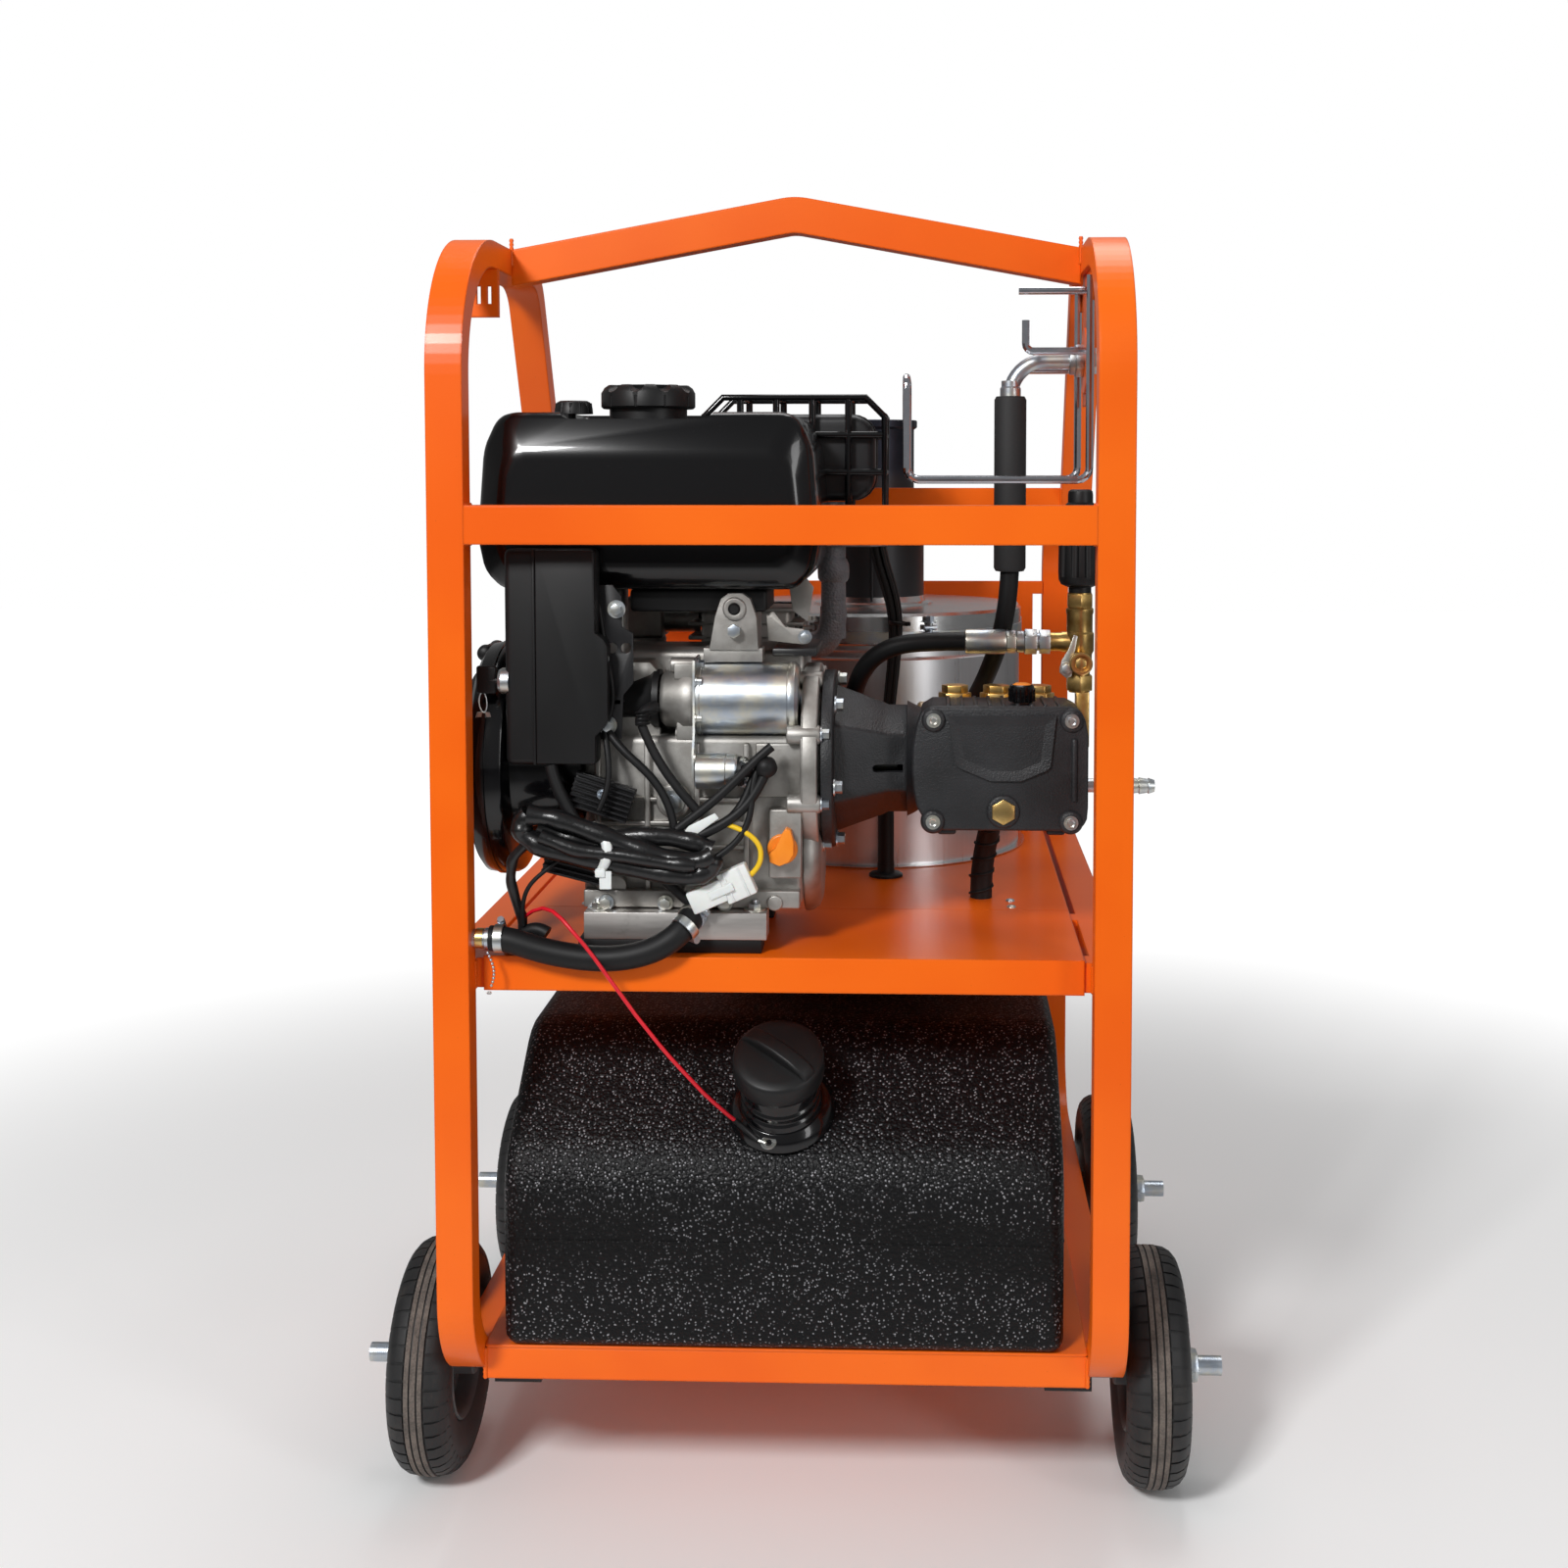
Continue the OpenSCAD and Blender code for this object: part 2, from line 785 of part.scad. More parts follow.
module diesel_tank() {
  color("#202020") union() {
    intersection() {
      translate([dtank_x - dtank_w / 2, dtank_y, dtank_z]) rotate([90, 0, 90])
        linear_extrude(dtank_w) tank_outline();
      translate([dtank_x - dtank_w / 2, dtank_y, dtank_z])
        linear_extrude(dtank_h) round_rect(dtank_w, dtank_l, dtank_fillet);
      translate([dtank_x - dtank_w / 2, dtank_y + dtank_l, dtank_z]) rotate([90, 0, 0])
        linear_extrude(dtank_l) round_rect(dtank_w, dtank_h, dtank_fillet);
    }
    on_slope() {
      translate([0, 0, -collar_h]) cylinder(h = 2 * collar_h, r = collar_r);
      translate([0, 0, -neck_h]) cylinder(h = 2 * neck_h, r = neck_r);
    }
  }
}

module diesel_cap() {
  color("#181818") on_slope() translate([0, 0, neck_h]) {
    cylinder(h = dcap_h, r = dcap_r);
    translate([-dcap_r + 4, -grip_w / 2, dcap_h]) cube([2 * dcap_r - 8, grip_w, grip_h]);
  }
}

// Red lead of the fuel gauge, hanging from the loom to the neck of the diesel tank.
module tank_wire() {
  color("red") swept_tube(tank_wire_route, 2, 8, [0.2, 0.1, 1]);
}

// ---- Engine ----

module engine_rails() {
  color("silver") for (y = rail_y) {
    block(rail_x, rail_x + rail_w, y, y + rail_t, rail_z, rail_z + rail_h);
    block(rail_x, rail_x + rail_w, y, y + rail_t, deck_z, rail_z);
  }
}

module engine_block() {
  block_low = rail_z + rail_h;
  color("gainsboro") difference() {
    union() {
      block(block_x0, block_x1, block_y0, block_y1, block_low, block_step_z);
      block(block_x0, block_x1, block_step_y, block_y1, block_step_z, block_top);
      for (x = tank_post_x)
        block(x, x + tank_post_w, block_step_y, block_step_y + tank_post_w, block_top, ftank_z);
    }
    rod_x(block_x1 - 30, block_x1 + 1, crank_y, crank_z, shaft_r + fit);
  }
}

module crankcase_cover() {
  color("gainsboro") difference() {
    union() {
      rod_x(block_x1, cover_x1, crank_y, crank_z, cover_r);
      rod_x(block_x1, cover_x1, sump_y, sump_z, sump_r);
      for (a = [0 : 45 : 315])
        rod_x(block_x1, cover_x1 + cover_bolt_out,
          crank_y + cover_bolt_ring * cos(a + cover_bolt_turn),
          crank_z + cover_bolt_ring * sin(a + cover_bolt_turn), cover_bolt_r);
    }
    rod_x(block_x1 - 1, cover_x1 + 1, crank_y, crank_z, shaft_r + fit);
  }
}

module cylinder_head() {
  color("gainsboro") {
    block(head_x + 8, head_x + head_w - 8, block_y1, block_y1 + head_l - 8, head_z,
      head_z + head_fins * fin_pitch);
    for (i = [0 : head_fins - 1])
      block(head_x, head_x + head_w, block_y1, block_y1 + head_l,
        head_z + i * fin_pitch, head_z + i * fin_pitch + fin_t);
  }
}

module blower_housing() {
  color("#202020") {
    rod_x(blower_x[0], blower_x[1], crank_y, crank_z, blower_r);
    rod_x(blower_x[1], block_x0, crank_y, crank_z, shroud_r);
  }
}

module recoil_cover() {
  color("#181818") rod_x(recoil_x, blower_x[0], crank_y, crank_z, recoil_r);
}

module recoil_handle() {
  color("#181818") {
    rod_y(grip_x, grip_y - grip_l / 2, grip_y + grip_l / 2, grip_z, grip_r);
    rod_z(grip_x, grip_y, grip_z - grip_stem, grip_z, 5);
  }
}

module fuel_tank() {
  top = ftank_z + ftank_h;
  color("#141414") union() {
    intersection() {
      front_plate(ftank_y, ftank_l) polygon([
        [ftank_x + ftank_belly, ftank_z], [ftank_x, ftank_z + ftank_fold],
        [ftank_x + 8, top - ftank_shoulder], [ftank_x + ftank_corner, top],
        [ftank_x + ftank_w - ftank_corner, top], [ftank_x + ftank_w - 8, top - ftank_shoulder],
        [ftank_x + ftank_w, ftank_z + ftank_fold],
        [ftank_x + ftank_w - ftank_belly, ftank_z]
      ]);
      translate([ftank_x, ftank_y, ftank_z])
        linear_extrude(ftank_h) round_rect(ftank_w, ftank_l, 2 * ftank_fillet);
      translate([ftank_x, ftank_y, ftank_z]) rotate([90, 0, 90])
        linear_extrude(ftank_w) round_rect(ftank_l, ftank_h, ftank_fillet);
    }
    rod_z(gauge_x, fcap_y, top - 1, top + gauge_h, gauge_r);
    rod_z(fcap_x, fcap_y, top - 1, top + 6, fcap_r - 8);
  }
}

module fuel_cap() {
  top = ftank_z + ftank_h + 6;
  color("#101010") difference() {
    rod_z(fcap_x, fcap_y, top, top + fcap_h - 6, fcap_r);
    for (a = [0 : 30 : 330])
      rod_z(fcap_x + (fcap_r + 3) * cos(a), fcap_y + (fcap_r + 3) * sin(a),
        top - 1, top + fcap_h, 6);
  }
}

module control_box() {
  color("#181818") front_plate(box_y, box_t)
    translate([box_x, box_z]) round_rect(box_w, box_h, 8);
}

module ignition_key() {
  color("silver") {
    rod_x(box_x - key_stem, box_x, key_y, key_z, key_r);
    block(box_x - key_stem - key_bow, box_x - key_stem, key_y - key_bow_t / 2,
      key_y + key_bow_t / 2, key_z - key_bow_w / 2, key_z + key_bow_w / 2);
  }
}

module starter_motor() {
  color("silver") {
    rod_x(starter_x, starter_x + starter_l, starter_y, starter_z, starter_r);
    rod_x(starter_x - nose_l, starter_x, starter_y, starter_z, nose_r);
  }
}

module solenoid() {
  color("silver") {
    rod_x(solenoid_x, solenoid_x + solenoid_l, solenoid_y, solenoid_z, solenoid_r);
    rod_x(solenoid_x - 6, solenoid_x + solenoid_l + 8, solenoid_y, solenoid_z, 8);
  }
}

module oil_filler_cap() {
  color("orange") {
    rod_y(oil_cap_x, oil_cap_y - oil_cap_h, oil_cap_y, oil_cap_z, oil_cap_r);
    block(oil_cap_x - oil_tab_w / 2, oil_cap_x + oil_tab_w / 2,
      oil_cap_y - oil_cap_h - oil_tab_l / 2, oil_cap_y - oil_cap_h,
      oil_cap_z - oil_cap_r, oil_cap_z + oil_cap_r);
  }
}

// Folded wiring loom in front of the engine, held by a tie, and its stem to the deck.
module wiring_hank() {
  color("#101010") {
    for (lane = loom_lanes)
      swept_tube([for (p = loom_route) [p[0], loom_y + p[1] + lane[0], p[2] + lane[1]]],
        loom_r, 8);
    swept_tube(loom_stem, loom_stem_r, 8);
  }
}

module drain_hose() {
  color("#181818") swept_tube(drain_route, drain_r, 10, [0.1, 0.2, 1]);
}

// ---- Exhaust and air cleaner ----

module muffler() {
  color("#303030") front_plate(guard_y + muffler_in, guard_l - 2 * muffler_in)
    translate([guard_x + muffler_in, guard_z + muffler_in])
      round_rect(guard_w - 2 * muffler_in, guard_h - 2 * muffler_in, 30);
}

module muffler_guard() {
  color("#141414") {
    for (y = [guard_y, guard_y + guard_l - guard_t]) {
      for (i = [0 : guard_posts - 1])
        block(guard_x + i * (guard_w - guard_t) / (guard_posts - 1),
          guard_x + i * (guard_w - guard_t) / (guard_posts - 1) + guard_t,
          y, y + guard_t, guard_z, guard_z + guard_h);
      for (i = [0 : guard_rails])
        block(guard_x, guard_x + guard_w, y, y + guard_t,
          guard_z + i * (guard_h - guard_t) / guard_rails,
          guard_z + i * (guard_h - guard_t) / guard_rails + guard_t);
    }
    for (i = [0 : guard_posts - 1], z = [guard_z, guard_z + guard_h - guard_t])
      block(guard_x + i * (guard_w - guard_t) / (guard_posts - 1),
        guard_x + i * (guard_w - guard_t) / (guard_posts - 1) + guard_t,
        guard_y, guard_y + guard_l, z, z + guard_t);
    for (x = [guard_x, guard_x + guard_w - guard_t], i = [1 : guard_rails - 1])
      block(x, x + guard_t, guard_y, guard_y + guard_l,
        guard_z + i * (guard_h - guard_t) / guard_rails,
        guard_z + i * (guard_h - guard_t) / guard_rails + guard_t);
  }
}

module exhaust_elbow() {
  muffler_low = guard_z + muffler_in;
  color("silver") {
    difference() {
      union() {
        rod_z(elbow_x, elbow_y + 10, elbow_z, muffler_low, elbow_r);
        rod_x(head_x + head_w, elbow_x, elbow_y + 10, elbow_z + elbow_r, elbow_r);
      }
      rod_z(elbow_x, elbow_y + 10, elbow_z - 1, elbow_z, elbow_r);
    }
    block(flange_x, flange_x + flange_w, guard_y + 4, guard_y + guard_l - 4,
      flange_z, flange_z + 6);
  }
}

module air_cleaner() {
  color("#181818") {
    front_plate(cleaner_y, cleaner_l) translate([cleaner_x, cleaner_z])
      round_rect(cleaner_w, cleaner_h, cleaner_fillet);
    block(cleaner_x + cleaner_w / 2, head_x, cleaner_y - 50, cleaner_y + 30,
      head_z + 30, cleaner_z + 10);
  }
}

// ---- Pump ----

module bell_housing() {
  color("#202020") difference() {
    union() {
      rod_x(cover_x1, bell_x, crank_y, crank_z, flange_r);
      translate([bell_x - 1, crank_y, crank_z]) rotate([0, 90, 0]) rotate_extrude()
        polygon([
          [bell_bore, 0], [bell_r0, 0], [bell_r1, pump_x - bell_x + 1],
          [bell_bore, pump_x - bell_x + 1]
        ]);
    }
    rod_x(cover_x1 - 1, pump_x + 1, crank_y, crank_z, bell_bore);
    for (a = [0 : 45 : 315])
      rod_x(cover_x1 - 1, cover_x1 + cover_bolt_out + 1,
        crank_y + cover_bolt_ring * cos(a + cover_bolt_turn),
        crank_z + cover_bolt_ring * sin(a + cover_bolt_turn), cover_bolt_r + seat);
    block(slot_x, pump_x - 8, crank_y - 2 * bell_r0, crank_y, crank_z - slot_h / 2,
      crank_z + slot_h / 2);
  }
}

module drive_shaft() {
  color("silver") {
    rod_x(block_x1 - 29, shaft_end, crank_y, crank_z, shaft_r);
    rod_x(coupling_x[0], coupling_x[1], crank_y, crank_z, coupling_r);
  }
}

module pump_crankcase() {
  color("#282828") difference() {
    union() {
      front_plate(pump_y + cover_depth, pump_d) translate([pump_x, pump_z])
        round_rect(pump_w, pump_h, cover_fillet);
      for (x = [pump_x + foot_in, pump_x + pump_w - foot_in])
        block(x, x + foot_w, pump_y + cover_depth, head_y, pump_z - foot_h, pump_z + 1);
    }
    rod_x(pump_x - 1, shaft_end + 1, crank_y, crank_z, shaft_r + fit);
  }
}

module pump_cover() {
  color("#282828") {
    front_plate(pump_y + 4, cover_depth - 4) translate([pump_x, pump_z])
      round_rect(pump_w, pump_h, cover_fillet);
    front_plate(pump_y, cover_depth) translate([pump_x, pump_z]) polygon([
      [34, 6], [pump_w - 34, 6], [pump_w - 12, pump_h / 2], [pump_w - 48, pump_h - 10],
      [48, pump_h - 10], [12, pump_h / 2]
    ]);
  }
}

module pump_head() {
  color("goldenrod") {
    block(pump_x + pump_head_in, pump_x + pump_w - pump_head_in, head_y, head_y + head_d,
      pump_head_z, pump_head_z + pump_head_h);
    for (i = [0 : 2]) {
      translate([valve_x + i * valve_pitch, valve_y, pump_head_z + pump_head_h])
        hex(valve_h, valve_r);
      translate([valve_x + i * valve_pitch, head_y + head_d, pump_head_z + 28])
        rotate([-90, 0, 0]) hex(10, valve_r);
    }
  }
}

module pump_oil_cap() {
  color("#181818") rod_z(oil_x, oil_y, pump_z + pump_h, pump_z + pump_h + oil_h, oil_r);
}

module unloader() {
  x0 = pump_x + pump_w - pump_head_in;
  color("goldenrod") {
    rod_z(unloader_x, unloader_y, unloader_z[0], unloader_z[1], unloader_r);
    block(x0, unloader_x + unloader_foot_w, unloader_y - unloader_foot_w, unloader_y + unloader_foot_w,
      unloader_z[0] - unloader_foot_h, unloader_z[0] + 1);
    rod_y(unloader_x, unloader_y - gauge_port_l, unloader_y, gauge_port_z, gauge_port_r);
    rod_x(branch_x[2], unloader_x, unloader_y, branch_z, branch_r);
  }
}

module unloader_knob() {
  color("#181818") rod_z(unloader_x, unloader_y, unloader_z[1], unloader_z[1] + uknob_h, uknob_r);
}

// Bypass hose to the boiler and the supply hose into the deck.
module water_hoses() {
  color("#181818") {
    swept_tube(bypass_route, hose_r, 10, [0.1, 0.3, 1]);
    swept_tube(supply_route, 14, 10, [1, 0.1, 0.1]);
  }
}

module outlet_hose() {
  color("#181818") {
    swept_tube(outlet_route, hose_r, 10, [1, 0.1, 0.2]);
    rod_z(outlet_x, outlet_y, sleeve_z[0], sleeve_z[1], sleeve_r);
  }
}

// Zinc fittings: outlet elbow, branch ferrule with its nuts, inlet barb, drain plug.
module pipe_fittings() {
  elbow_top = sleeve_z[1] + elbow_bend;
  color("lightgray") {
    translate([outlet_x + elbow_bend, outlet_y, sleeve_z[1]]) rotate([90, 0, 0])
      rotate_extrude(angle = 90, start = 90) translate([elbow_bend, 0]) circle(pipe_r);
    rod_x(outlet_x + elbow_bend, hook_plate_x + plate_t, outlet_y, elbow_top, pipe_r);
    rod_x(hook_plate_x + plate_t, hook_plate_x + plate_t + nipple_l, outlet_y, elbow_top,
      nipple_r);
    rod_x(branch_x[0], branch_x[1], unloader_y, branch_z, 13);
    translate([branch_x[1], unloader_y, branch_z]) rotate([0, 90, 0])
      hex(branch_x[2] - branch_x[1], 12);
    rod_x(pump_x + pump_w - pump_head_in, barb_x, barb_y, barb_z, barb_r);
    rod_x(-inner_w, drain_route[0][0], drain_y, drain_route[0][2], 9);
  }
}

// ---- Hooks ----

module hook_wires() {
  low = hook_low;
  top = frame_top - tube_t - 12;
  far = hook_plate_x - wire_r - hook_reach;
  color("silver") {
    swept_tube(bent_route([
      [hook_x, hook_y[0], top], [hook_x, hook_y[0], low], [far, hook_y[0], low],
      [far, hook_y[0], low + hook_lift], [far, hook_y[1], low + hook_lift],
      [far, hook_y[1], low], [hook_x, hook_y[1], low], [hook_x, hook_y[1], top]
    ], hook_bend), wire_r, 10, [0.3, 0.5, 0.4]);
    rod_x(hook_plate_x - peg_l, hook_plate_x, outlet_y - 50, peg_z, wire_r);
    rod_x(hook_plate_x - peg_l + 12, hook_plate_x, outlet_y + 36, gun_hook_z - 16, wire_r);
    swept_tube(bent_route([
      [hook_plate_x, outlet_y - 36, gun_hook_z],
      [hook_plate_x - gun_hook_l, outlet_y - 36, gun_hook_z],
      [hook_plate_x - gun_hook_l, outlet_y - 36, gun_hook_z + gun_hook_lift]
    ], 8), wire_r, 10, [0, 1, 0]);
  }
}

// ---- Boiler ----

module boiler() {
  shell_top = deck_z + boiler_h - lid_h;
  color("lightgray") {
    difference() {
      union() {
        rod_z(boiler_x, boiler_y, boiler_low, shell_top, boiler_r);
        rod_z(boiler_x, boiler_y, deck_z, deck_z + sheet, boiler_r + flange_ring);
        for (i = [0, 1])
          rod_y(port_x[i], port_y[i], boiler_y, port_z[i], port_r);
      }
    }
    rod_z(boiler_x, boiler_y, shell_top, shell_top + lid_h, boiler_r + 2);
  }
}

module flue() {
  lid_top = deck_z + boiler_h;
  color("#181818") {
    rod_z(boiler_x, boiler_y, lid_top, lid_top + flue_sleeve_h, flue_sleeve_r);
    rod_z(boiler_x, boiler_y, lid_top + flue_sleeve_h, lid_top + flue_sleeve_h + flue_h, flue_r);
    rod_z(boiler_x, boiler_y, lid_top + flue_sleeve_h, lid_top + flue_sleeve_h + flue_lip,
      flue_r + flue_lip);
  }
}

module burner() {
  color("#303030") {
    rod_z(boiler_x, boiler_y, boiler_low - burner_h, boiler_low, burner_r);
    rod_x(boiler_x - burner_r - fan_l, boiler_x, boiler_y, boiler_low - burner_h / 2 - 10, fan_r);
  }
}

side_frame(-half_w);  // side_frame_left
side_frame(inner_w);  // side_frame_right
front_crossbar();
roof_bar();
rear_bars();
bottom_bars();
deck_rails();
front_deck();
rear_deck();
tank_tray();
rear_panel();
side_brackets();
axle_brackets();
axles();
tyre(-tyre_x, axle_y[0]);  // tyre_front_left
tyre(tyre_x, axle_y[0]);  // tyre_front_right
tyre(-tyre_x, axle_y[1]);  // tyre_rear_left
tyre(tyre_x, axle_y[1]);  // tyre_rear_right
rim(-tyre_x, axle_y[0]);  // rim_front_left
rim(tyre_x, axle_y[0]);  // rim_front_right
rim(-tyre_x, axle_y[1]);  // rim_rear_left
rim(tyre_x, axle_y[1]);  // rim_rear_right
diesel_tank();
diesel_cap();
tank_wire();
engine_rails();
engine_block();
crankcase_cover();
cylinder_head();
blower_housing();
recoil_cover();
recoil_handle();
fuel_tank();
fuel_cap();
control_box();
ignition_key();
starter_motor();
solenoid();
oil_filler_cap();
wiring_hank();
drain_hose();
muffler();
muffler_guard();
exhaust_elbow();
air_cleaner();
bell_housing();
drive_shaft();
pump_crankcase();
pump_cover();
pump_head();
pump_oil_cap();
unloader();
unloader_knob();
water_hoses();
outlet_hose();
pipe_fittings();
hook_wires();
boiler();
flue();
burner();
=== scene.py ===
import math
import bpy
from mathutils import Matrix, Vector


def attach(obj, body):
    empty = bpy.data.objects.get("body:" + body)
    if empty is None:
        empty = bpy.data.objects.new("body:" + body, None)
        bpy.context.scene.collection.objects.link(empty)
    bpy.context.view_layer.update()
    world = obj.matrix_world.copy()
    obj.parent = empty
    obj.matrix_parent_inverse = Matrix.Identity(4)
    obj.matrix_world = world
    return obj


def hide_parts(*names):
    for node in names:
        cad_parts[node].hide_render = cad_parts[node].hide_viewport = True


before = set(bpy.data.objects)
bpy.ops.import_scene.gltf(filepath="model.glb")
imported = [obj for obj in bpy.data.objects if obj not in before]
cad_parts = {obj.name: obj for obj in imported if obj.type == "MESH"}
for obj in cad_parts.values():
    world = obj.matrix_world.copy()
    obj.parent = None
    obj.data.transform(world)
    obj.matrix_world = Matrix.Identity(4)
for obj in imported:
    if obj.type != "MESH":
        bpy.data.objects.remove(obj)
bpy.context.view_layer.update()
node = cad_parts


# ---------------------------------------------------------------- the view

LENS = 43.2
SENSOR = 36.0
LENS_SHIFT = (-0.049, -0.129)
EYE = (0.1415, -2.240, 1.074)
LOOK_DOWN = math.radians(3.4)
LOOK_LEFT = math.radians(2.0)


def set_camera():
    data = bpy.data.cameras.new("camera")
    data.lens = LENS
    data.sensor_width = SENSOR
    data.sensor_fit = "HORIZONTAL"
    data.shift_x, data.shift_y = LENS_SHIFT
    data.clip_start = 0.05
    data.clip_end = 60.0
    camera = bpy.data.objects.new("camera", data)
    bpy.context.scene.collection.objects.link(camera)
    camera.location = EYE
    camera.rotation_euler = (math.radians(90) - LOOK_DOWN, 0.0, LOOK_LEFT)
    bpy.context.scene.camera = camera


set_camera()
bpy.context.scene.view_settings.view_transform = "Standard"


# ---------------------------------------------------------------- finishes

def tone(red, green, blue):
    """A paint-chart colour, 0 to 255, as the linear colour that a shader takes."""
    out = []
    for level in (red, green, blue):
        level = level / 255
        out.append(level / 12.92 if level <= 0.04045 else ((level + 0.055) / 1.055) ** 2.4)
    return (*out, 1.0)


class Value:
    """A number or colour that changes over a surface, with the maths that the finishes use."""

    def __init__(self, finish, socket):
        self.finish = finish
        self.socket = socket

    def maths(self, operation, first, second):
        return self.finish.add("Math", {"operation": operation}, {0: first, 1: second})

    def __add__(self, other):
        return self.maths("ADD", self, other)

    def __radd__(self, other):
        return self.maths("ADD", other, self)

    def __rsub__(self, other):
        return self.maths("SUBTRACT", other, self)

    def __mul__(self, other):
        return self.maths("MULTIPLY", self, other)

    def __rmul__(self, other):
        return self.maths("MULTIPLY", other, self)

    def __pow__(self, other):
        return self.maths("POWER", self, other)


def input_name(word):
    return word.replace("_", " ").title().replace("Ior", "IOR")


class Finish:
    """One finish of the machine, built on a Principled shader."""

    def __init__(self, name, **constants):
        self.material = bpy.data.materials.new(name)
        self.material.use_nodes = True
        self.tree = self.material.node_tree
        self.shader = self.tree.nodes["Principled BSDF"]
        self.set(**constants)

    def join(self, value, socket):
        """Links a value into the socket, or writes a plain number or colour there."""
        if isinstance(value, Value):
            self.tree.links.new(value.socket, socket)
        else:
            socket.default_value = value

    def add(self, kind, settings=None, sockets=None, out=0):
        made = self.tree.nodes.new("ShaderNode" + kind)
        for key, value in (settings or {}).items():
            setattr(made, key, value)
        for key, value in (sockets or {}).items():
            self.join(value, made.inputs[key])
        return Value(self, made.outputs[out])

    def place(self, stretch=(1, 1, 1)):
        """Where a point is on the piece, in metres, with each axis stretched."""
        where = self.add("TexCoord", out="Object")
        return self.add("Mapping", {"vector_type": "POINT"}, {"Vector": where, "Scale": stretch})

    def noise(self, scale, detail=2.0, rough=0.5, stretch=(1, 1, 1), lumps=0.0):
        return self.add("TexNoise", {}, {"Vector": self.place(stretch), "Scale": scale, "Detail": detail,
                                         "Roughness": rough, "Distortion": lumps}, out="Fac")

    def cells(self, scale, feature="F1"):
        return self.add("TexVoronoi", {"feature": feature}, {"Vector": self.place(), "Scale": scale},
                        out="Distance")

    def part(self, axis):
        return self.add("SeparateXYZ", {}, {"Vector": self.place()}, out=axis)

    def step(self, value, low, high, most=1.0):
        """Runs smoothly from 0 to most as value goes from low to high."""
        return self.add("MapRange", {"interpolation_type": "SMOOTHSTEP", "clamp": True},
                        {"Value": value, "From Min": low, "From Max": high, "To Max": most})

    def blend(self, share, first, second):
        return self.add("Mix", {"data_type": "RGBA"}, {0: share, 6: first, 7: second}, out=2)

    def bump(self, height, depth, size, over=None):
        """The slope of a skin of the height given, laid over another slope if asked."""
        sockets = {"Height": height, "Strength": depth, "Distance": size}
        if over:
            sockets["Normal"] = over
        return self.add("Bump", {}, sockets, out="Normal")

    def set(self, **values):
        for word, value in values.items():
            self.join(value, self.shader.inputs[input_name(word)])
        return self.material


# ---------------------------------------------------------------- bench tools

MM = 0.001
RIGHT, LEFT = (1, 0, 0), (-1, 0, 0)
BACK, FRONT = (0, 1, 0), (0, -1, 0)
UP, DOWN = (0, 0, 1), (0, 0, -1)


def mm(*numbers):
    """Millimetres as a point in metres."""
    return Vector(number * MM for number in numbers)


def facing(way, up="Y"):
    """The turn that brings the upright of a piece to the way given."""
    return Vector(way).to_track_quat("Z", up).to_matrix().to_4x4()


def around(count, radius, centre=(0, 0), start=0.0):
    """Points evenly round a circle, as pairs in its plane."""
    angles = [start + math.tau * i / count for i in range(count)]
    return [(centre[0] + radius * math.cos(a), centre[1] + radius * math.sin(a)) for a in angles]


def clear():
    """Leaves edit mode with nothing selected."""
    if bpy.context.object and bpy.context.object.mode != "OBJECT":
        bpy.ops.object.mode_set(mode="OBJECT")
    bpy.ops.object.select_all(action="DESELECT")


def take(piece):
    clear()
    piece.select_set(True)
    bpy.context.view_layer.objects.active = piece
    return piece


def settle(piece):
    """Puts the piece's place into its mesh."""
    take(piece)
    bpy.ops.object.transform_apply(location=True, rotation=True, scale=True)
    return piece


def put(piece, place, turn):
    """Turns a piece made round the origin and moves it to its place, in millimetres."""
    piece.matrix_world = Matrix.Translation(mm(*place)) @ turn
    return settle(piece)


def pick(piece, test=lambda place, way: True):
    """Goes into edit mode with the faces selected that pass the test of place and direction."""
    take(piece)
    mesh = piece.data
    for group in (mesh.vertices, mesh.edges, mesh.polygons):
        group.foreach_set("select", [False] * len(group))
    bpy.context.tool_settings.mesh_select_mode = (False, False, True)
    for face in mesh.polygons:
        face.select = test(face.center, face.normal)
    bpy.ops.object.mode_set(mode="EDIT")


def pull(x, y, z):
    """Extrudes what is selected, in millimetres."""
    bpy.ops.mesh.extrude_region_move(TRANSFORM_OT_translate={"value": mm(x, y, z)})


def shift(x, y, z):
    bpy.ops.transform.translate(value=mm(x, y, z))


def scale(x, y, z, about):
    bpy.ops.transform.resize(value=(x, y, z), center_override=about)


def inset(width):
    bpy.ops.mesh.inset(thickness=width * MM)


def outward():
    """Turns every face of the piece in edit mode outward."""
    bpy.ops.mesh.select_all(action="SELECT")
    bpy.ops.mesh.normals_make_consistent(inside=False)


def done():
    bpy.ops.object.mode_set(mode="OBJECT")


def cube(low, high):
    """A block between two corners, in millimetres."""
    clear()
    low, high = mm(*low), mm(*high)
    bpy.ops.mesh.primitive_cube_add(size=1, location=(low + high) / 2)
    piece = bpy.context.object
    piece.scale = high - low
    return settle(piece)


def bar(start, end, radius, sides=32, turn=0.0):
    """A round or many-sided bar from one point to another, in millimetres."""
    clear()
    start, end = mm(*start), mm(*end)
    bpy.ops.mesh.primitive_cone_add(vertices=sides, radius1=radius * MM, radius2=radius * MM,
                                    depth=(end - start).length)
    piece = bpy.context.object
    spin = Matrix.Rotation(turn, 4, "Z")
    piece.matrix_world = Matrix.Translation((start + end) / 2) @ facing(end - start) @ spin
    return settle(piece)


